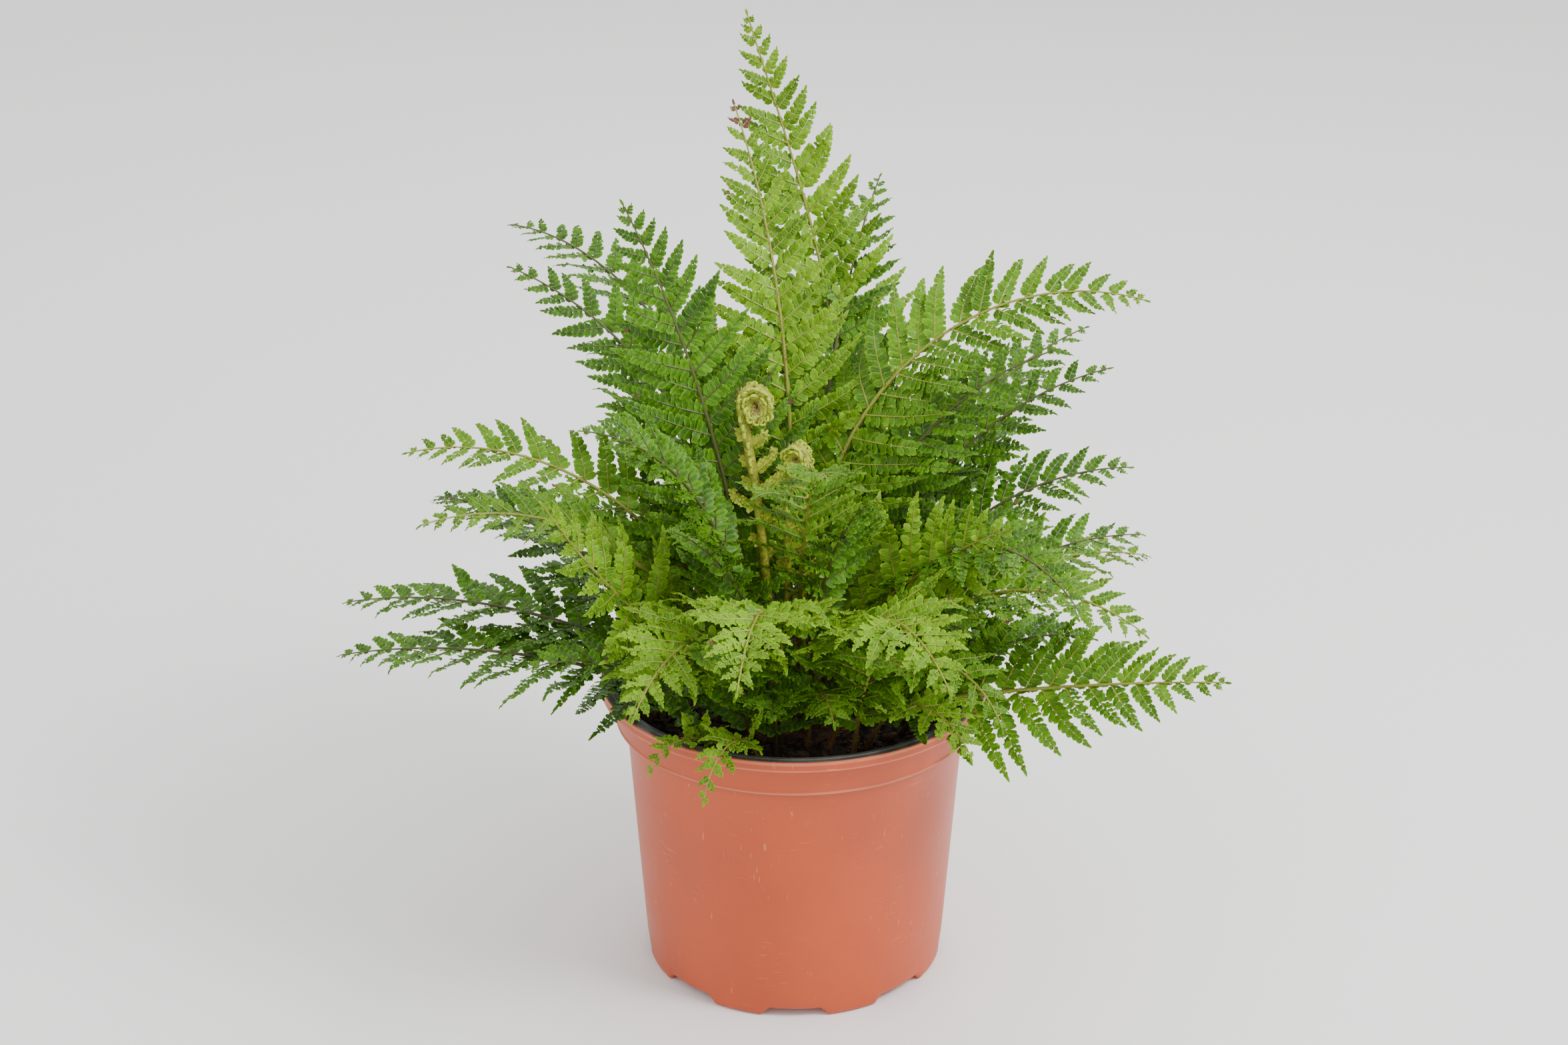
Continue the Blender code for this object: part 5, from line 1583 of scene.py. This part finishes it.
def blade_loft(rings, cell):
    """Blades of four corners each as lofts, in equal parts of one rectangle of the map."""
    return loft(rings, BLADE_ACROSS, grid_cells(len(rings), *cell))


def tube_loft(rings, cell):
    """Round tubes as lofts, in equal parts of one rectangle of the map."""
    across = np.linspace(0, 1, rings.shape[2] + 1)
    return loft(rings, across, grid_cells(len(rings), *cell))


for number, crozier in enumerate(CROZIERS):
    rng = np.random.default_rng(500 + number)
    path, radius, flat, centre = crozier_path(crozier)
    stem_rings = tube(path[None], radius[None], CROZIER_SIDES)
    hook_rings = small_coils(path, radius, flat, centre, rng)
    hair_rings, hair_share = hairs(path, radius, int(crozier.length * HAIRS_PER_MM), rng)
    stem_across = np.linspace(0, 1, CROZIER_SIDES + 1)
    stem_loft = loft(stem_rings, stem_across, map_cell(0.0, 0.7, 1.0, 0.3))
    pale = 0.15 + 0.85 * smooth(hair_share, 0.15, 0.55)
    per_hair = HAIR_STATIONS * 4
    hair_shade = shade_of(len(hair_rings), per_hair, rng) * np.repeat(pale, per_hair)[:, None]
    curls, curl_radius, lobe_rings = side_curls(crozier, path, radius, flat, rng)
    fuzz = []
    for curl, thick in zip(curls, curl_radius):
        fuzz.append(hairs(curl, thick, HAIRS_PER_CURL, rng)[0])
    fuzz = np.concatenate(fuzz)
    fuzz_shade = shade_of(len(fuzz), per_hair, rng)
    parts = [
        (stem_loft, 0, {}),
        (tube_loft(hook_rings, (0, 0.25, 1, 0.25)), 1, {}),
        (blade_loft(hair_rings, (0, 0, 1, 0.25)), 2, {"clod_shade": hair_shade}),
        (tube_loft(tube(curls, curl_radius, 6), (0.0, 0.5, 0.5, 0.2)), 1, {}),
        (blade_loft(fuzz, (0.5, 0.5, 0.2, 0.2)), 2, {"clod_shade": fuzz_shade}),
        (blade_loft(lobe_rings, (0.7, 0.5, 0.3, 0.2)), 1, {}),
    ]
    piece = build_piece(crozier.name + "_hairy", parts, CROZIER_FINISHES, sharp=70.0)
    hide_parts(crozier.name)
    print(crozier.name, triangles(piece), "triangles")

# %% [markdown]
# ## Floor, light and camera
#
# The studio is a pale floor under a bright even sky. Three large lights give the soft shading of
# daylight through a window: the strongest from the upper right, a weak one from the left, and one
# from behind.

# %% Stage
FLOOR_SIZE = 8.0
FLOOR_HEIGHT = -0.0002  # just below the pot's foot
SKY_STRENGTH = 1.35

floor_mesh = bpy.data.meshes.new("studio_floor")
half = FLOOR_SIZE / 2
floor_corners = [(-half, -half), (half, -half), (half, half), (-half, half)]
floor_mesh.from_pydata([(x, y, FLOOR_HEIGHT) for x, y in floor_corners], [], [(0, 1, 2, 3)])
floor = bpy.data.objects.new("studio_floor", floor_mesh)
bpy.context.scene.collection.objects.link(floor)
floor_paint = Finish("floor_paint", 0.7)
floor_tones = rgb(0.86, 0.86, 0.85), rgb(0.89, 0.89, 0.88)
floor_paint.colour(floor_paint.mix(floor_paint.noise(3.0), *floor_tones))
floor_mesh.materials.append(floor_paint.material)

world = bpy.data.worlds.new("studio_sky")
world.use_nodes = True
sky = world.node_tree.nodes["Background"]
sky.inputs["Color"].default_value = rgb(1.0, 1.0, 1.0)
sky.inputs["Strength"].default_value = SKY_STRENGTH
bpy.context.scene.world = world


def soft_light(name, place, target, size, power):
    """A square area light at place that faces target."""
    lamp = bpy.data.lights.new(name, "AREA")
    lamp.shape = "SQUARE"
    lamp.size = size
    lamp.energy = power
    made = bpy.data.objects.new(name, lamp)
    made.location = place
    made.rotation_euler = (Vector(target) - Vector(place)).to_track_quat("-Z", "Y").to_euler()
    bpy.context.scene.collection.objects.link(made)


middle = (Vector(cad_box[0]) + Vector(cad_box[1])) / 2
soft_light("key_light", (1.1, -0.6, 1.5), middle, 0.6, 32.0)
soft_light("fill_light", (-1.3, -0.8, 0.9), middle, 1.2, 2.5)
soft_light("back_light", (0.2, 1.4, 1.5), middle, 1.0, 10.0)

# %% Camera
CAMERA_PLACE = (-0.0054, -1.1995, 0.7291)
CAMERA_PITCH = 0.3944  # radians below the horizon
LENS = 62.36
SENSOR = 36.0

lens = bpy.data.cameras.new("camera")
lens.lens = LENS
lens.sensor_width = SENSOR
lens.clip_start = 0.01
camera = bpy.data.objects.new("camera", lens)
camera.location = CAMERA_PLACE
camera.rotation_euler = (np.pi / 2 - CAMERA_PITCH, 0.0, 0.0)
bpy.context.scene.collection.objects.link(camera)
bpy.context.scene.camera = camera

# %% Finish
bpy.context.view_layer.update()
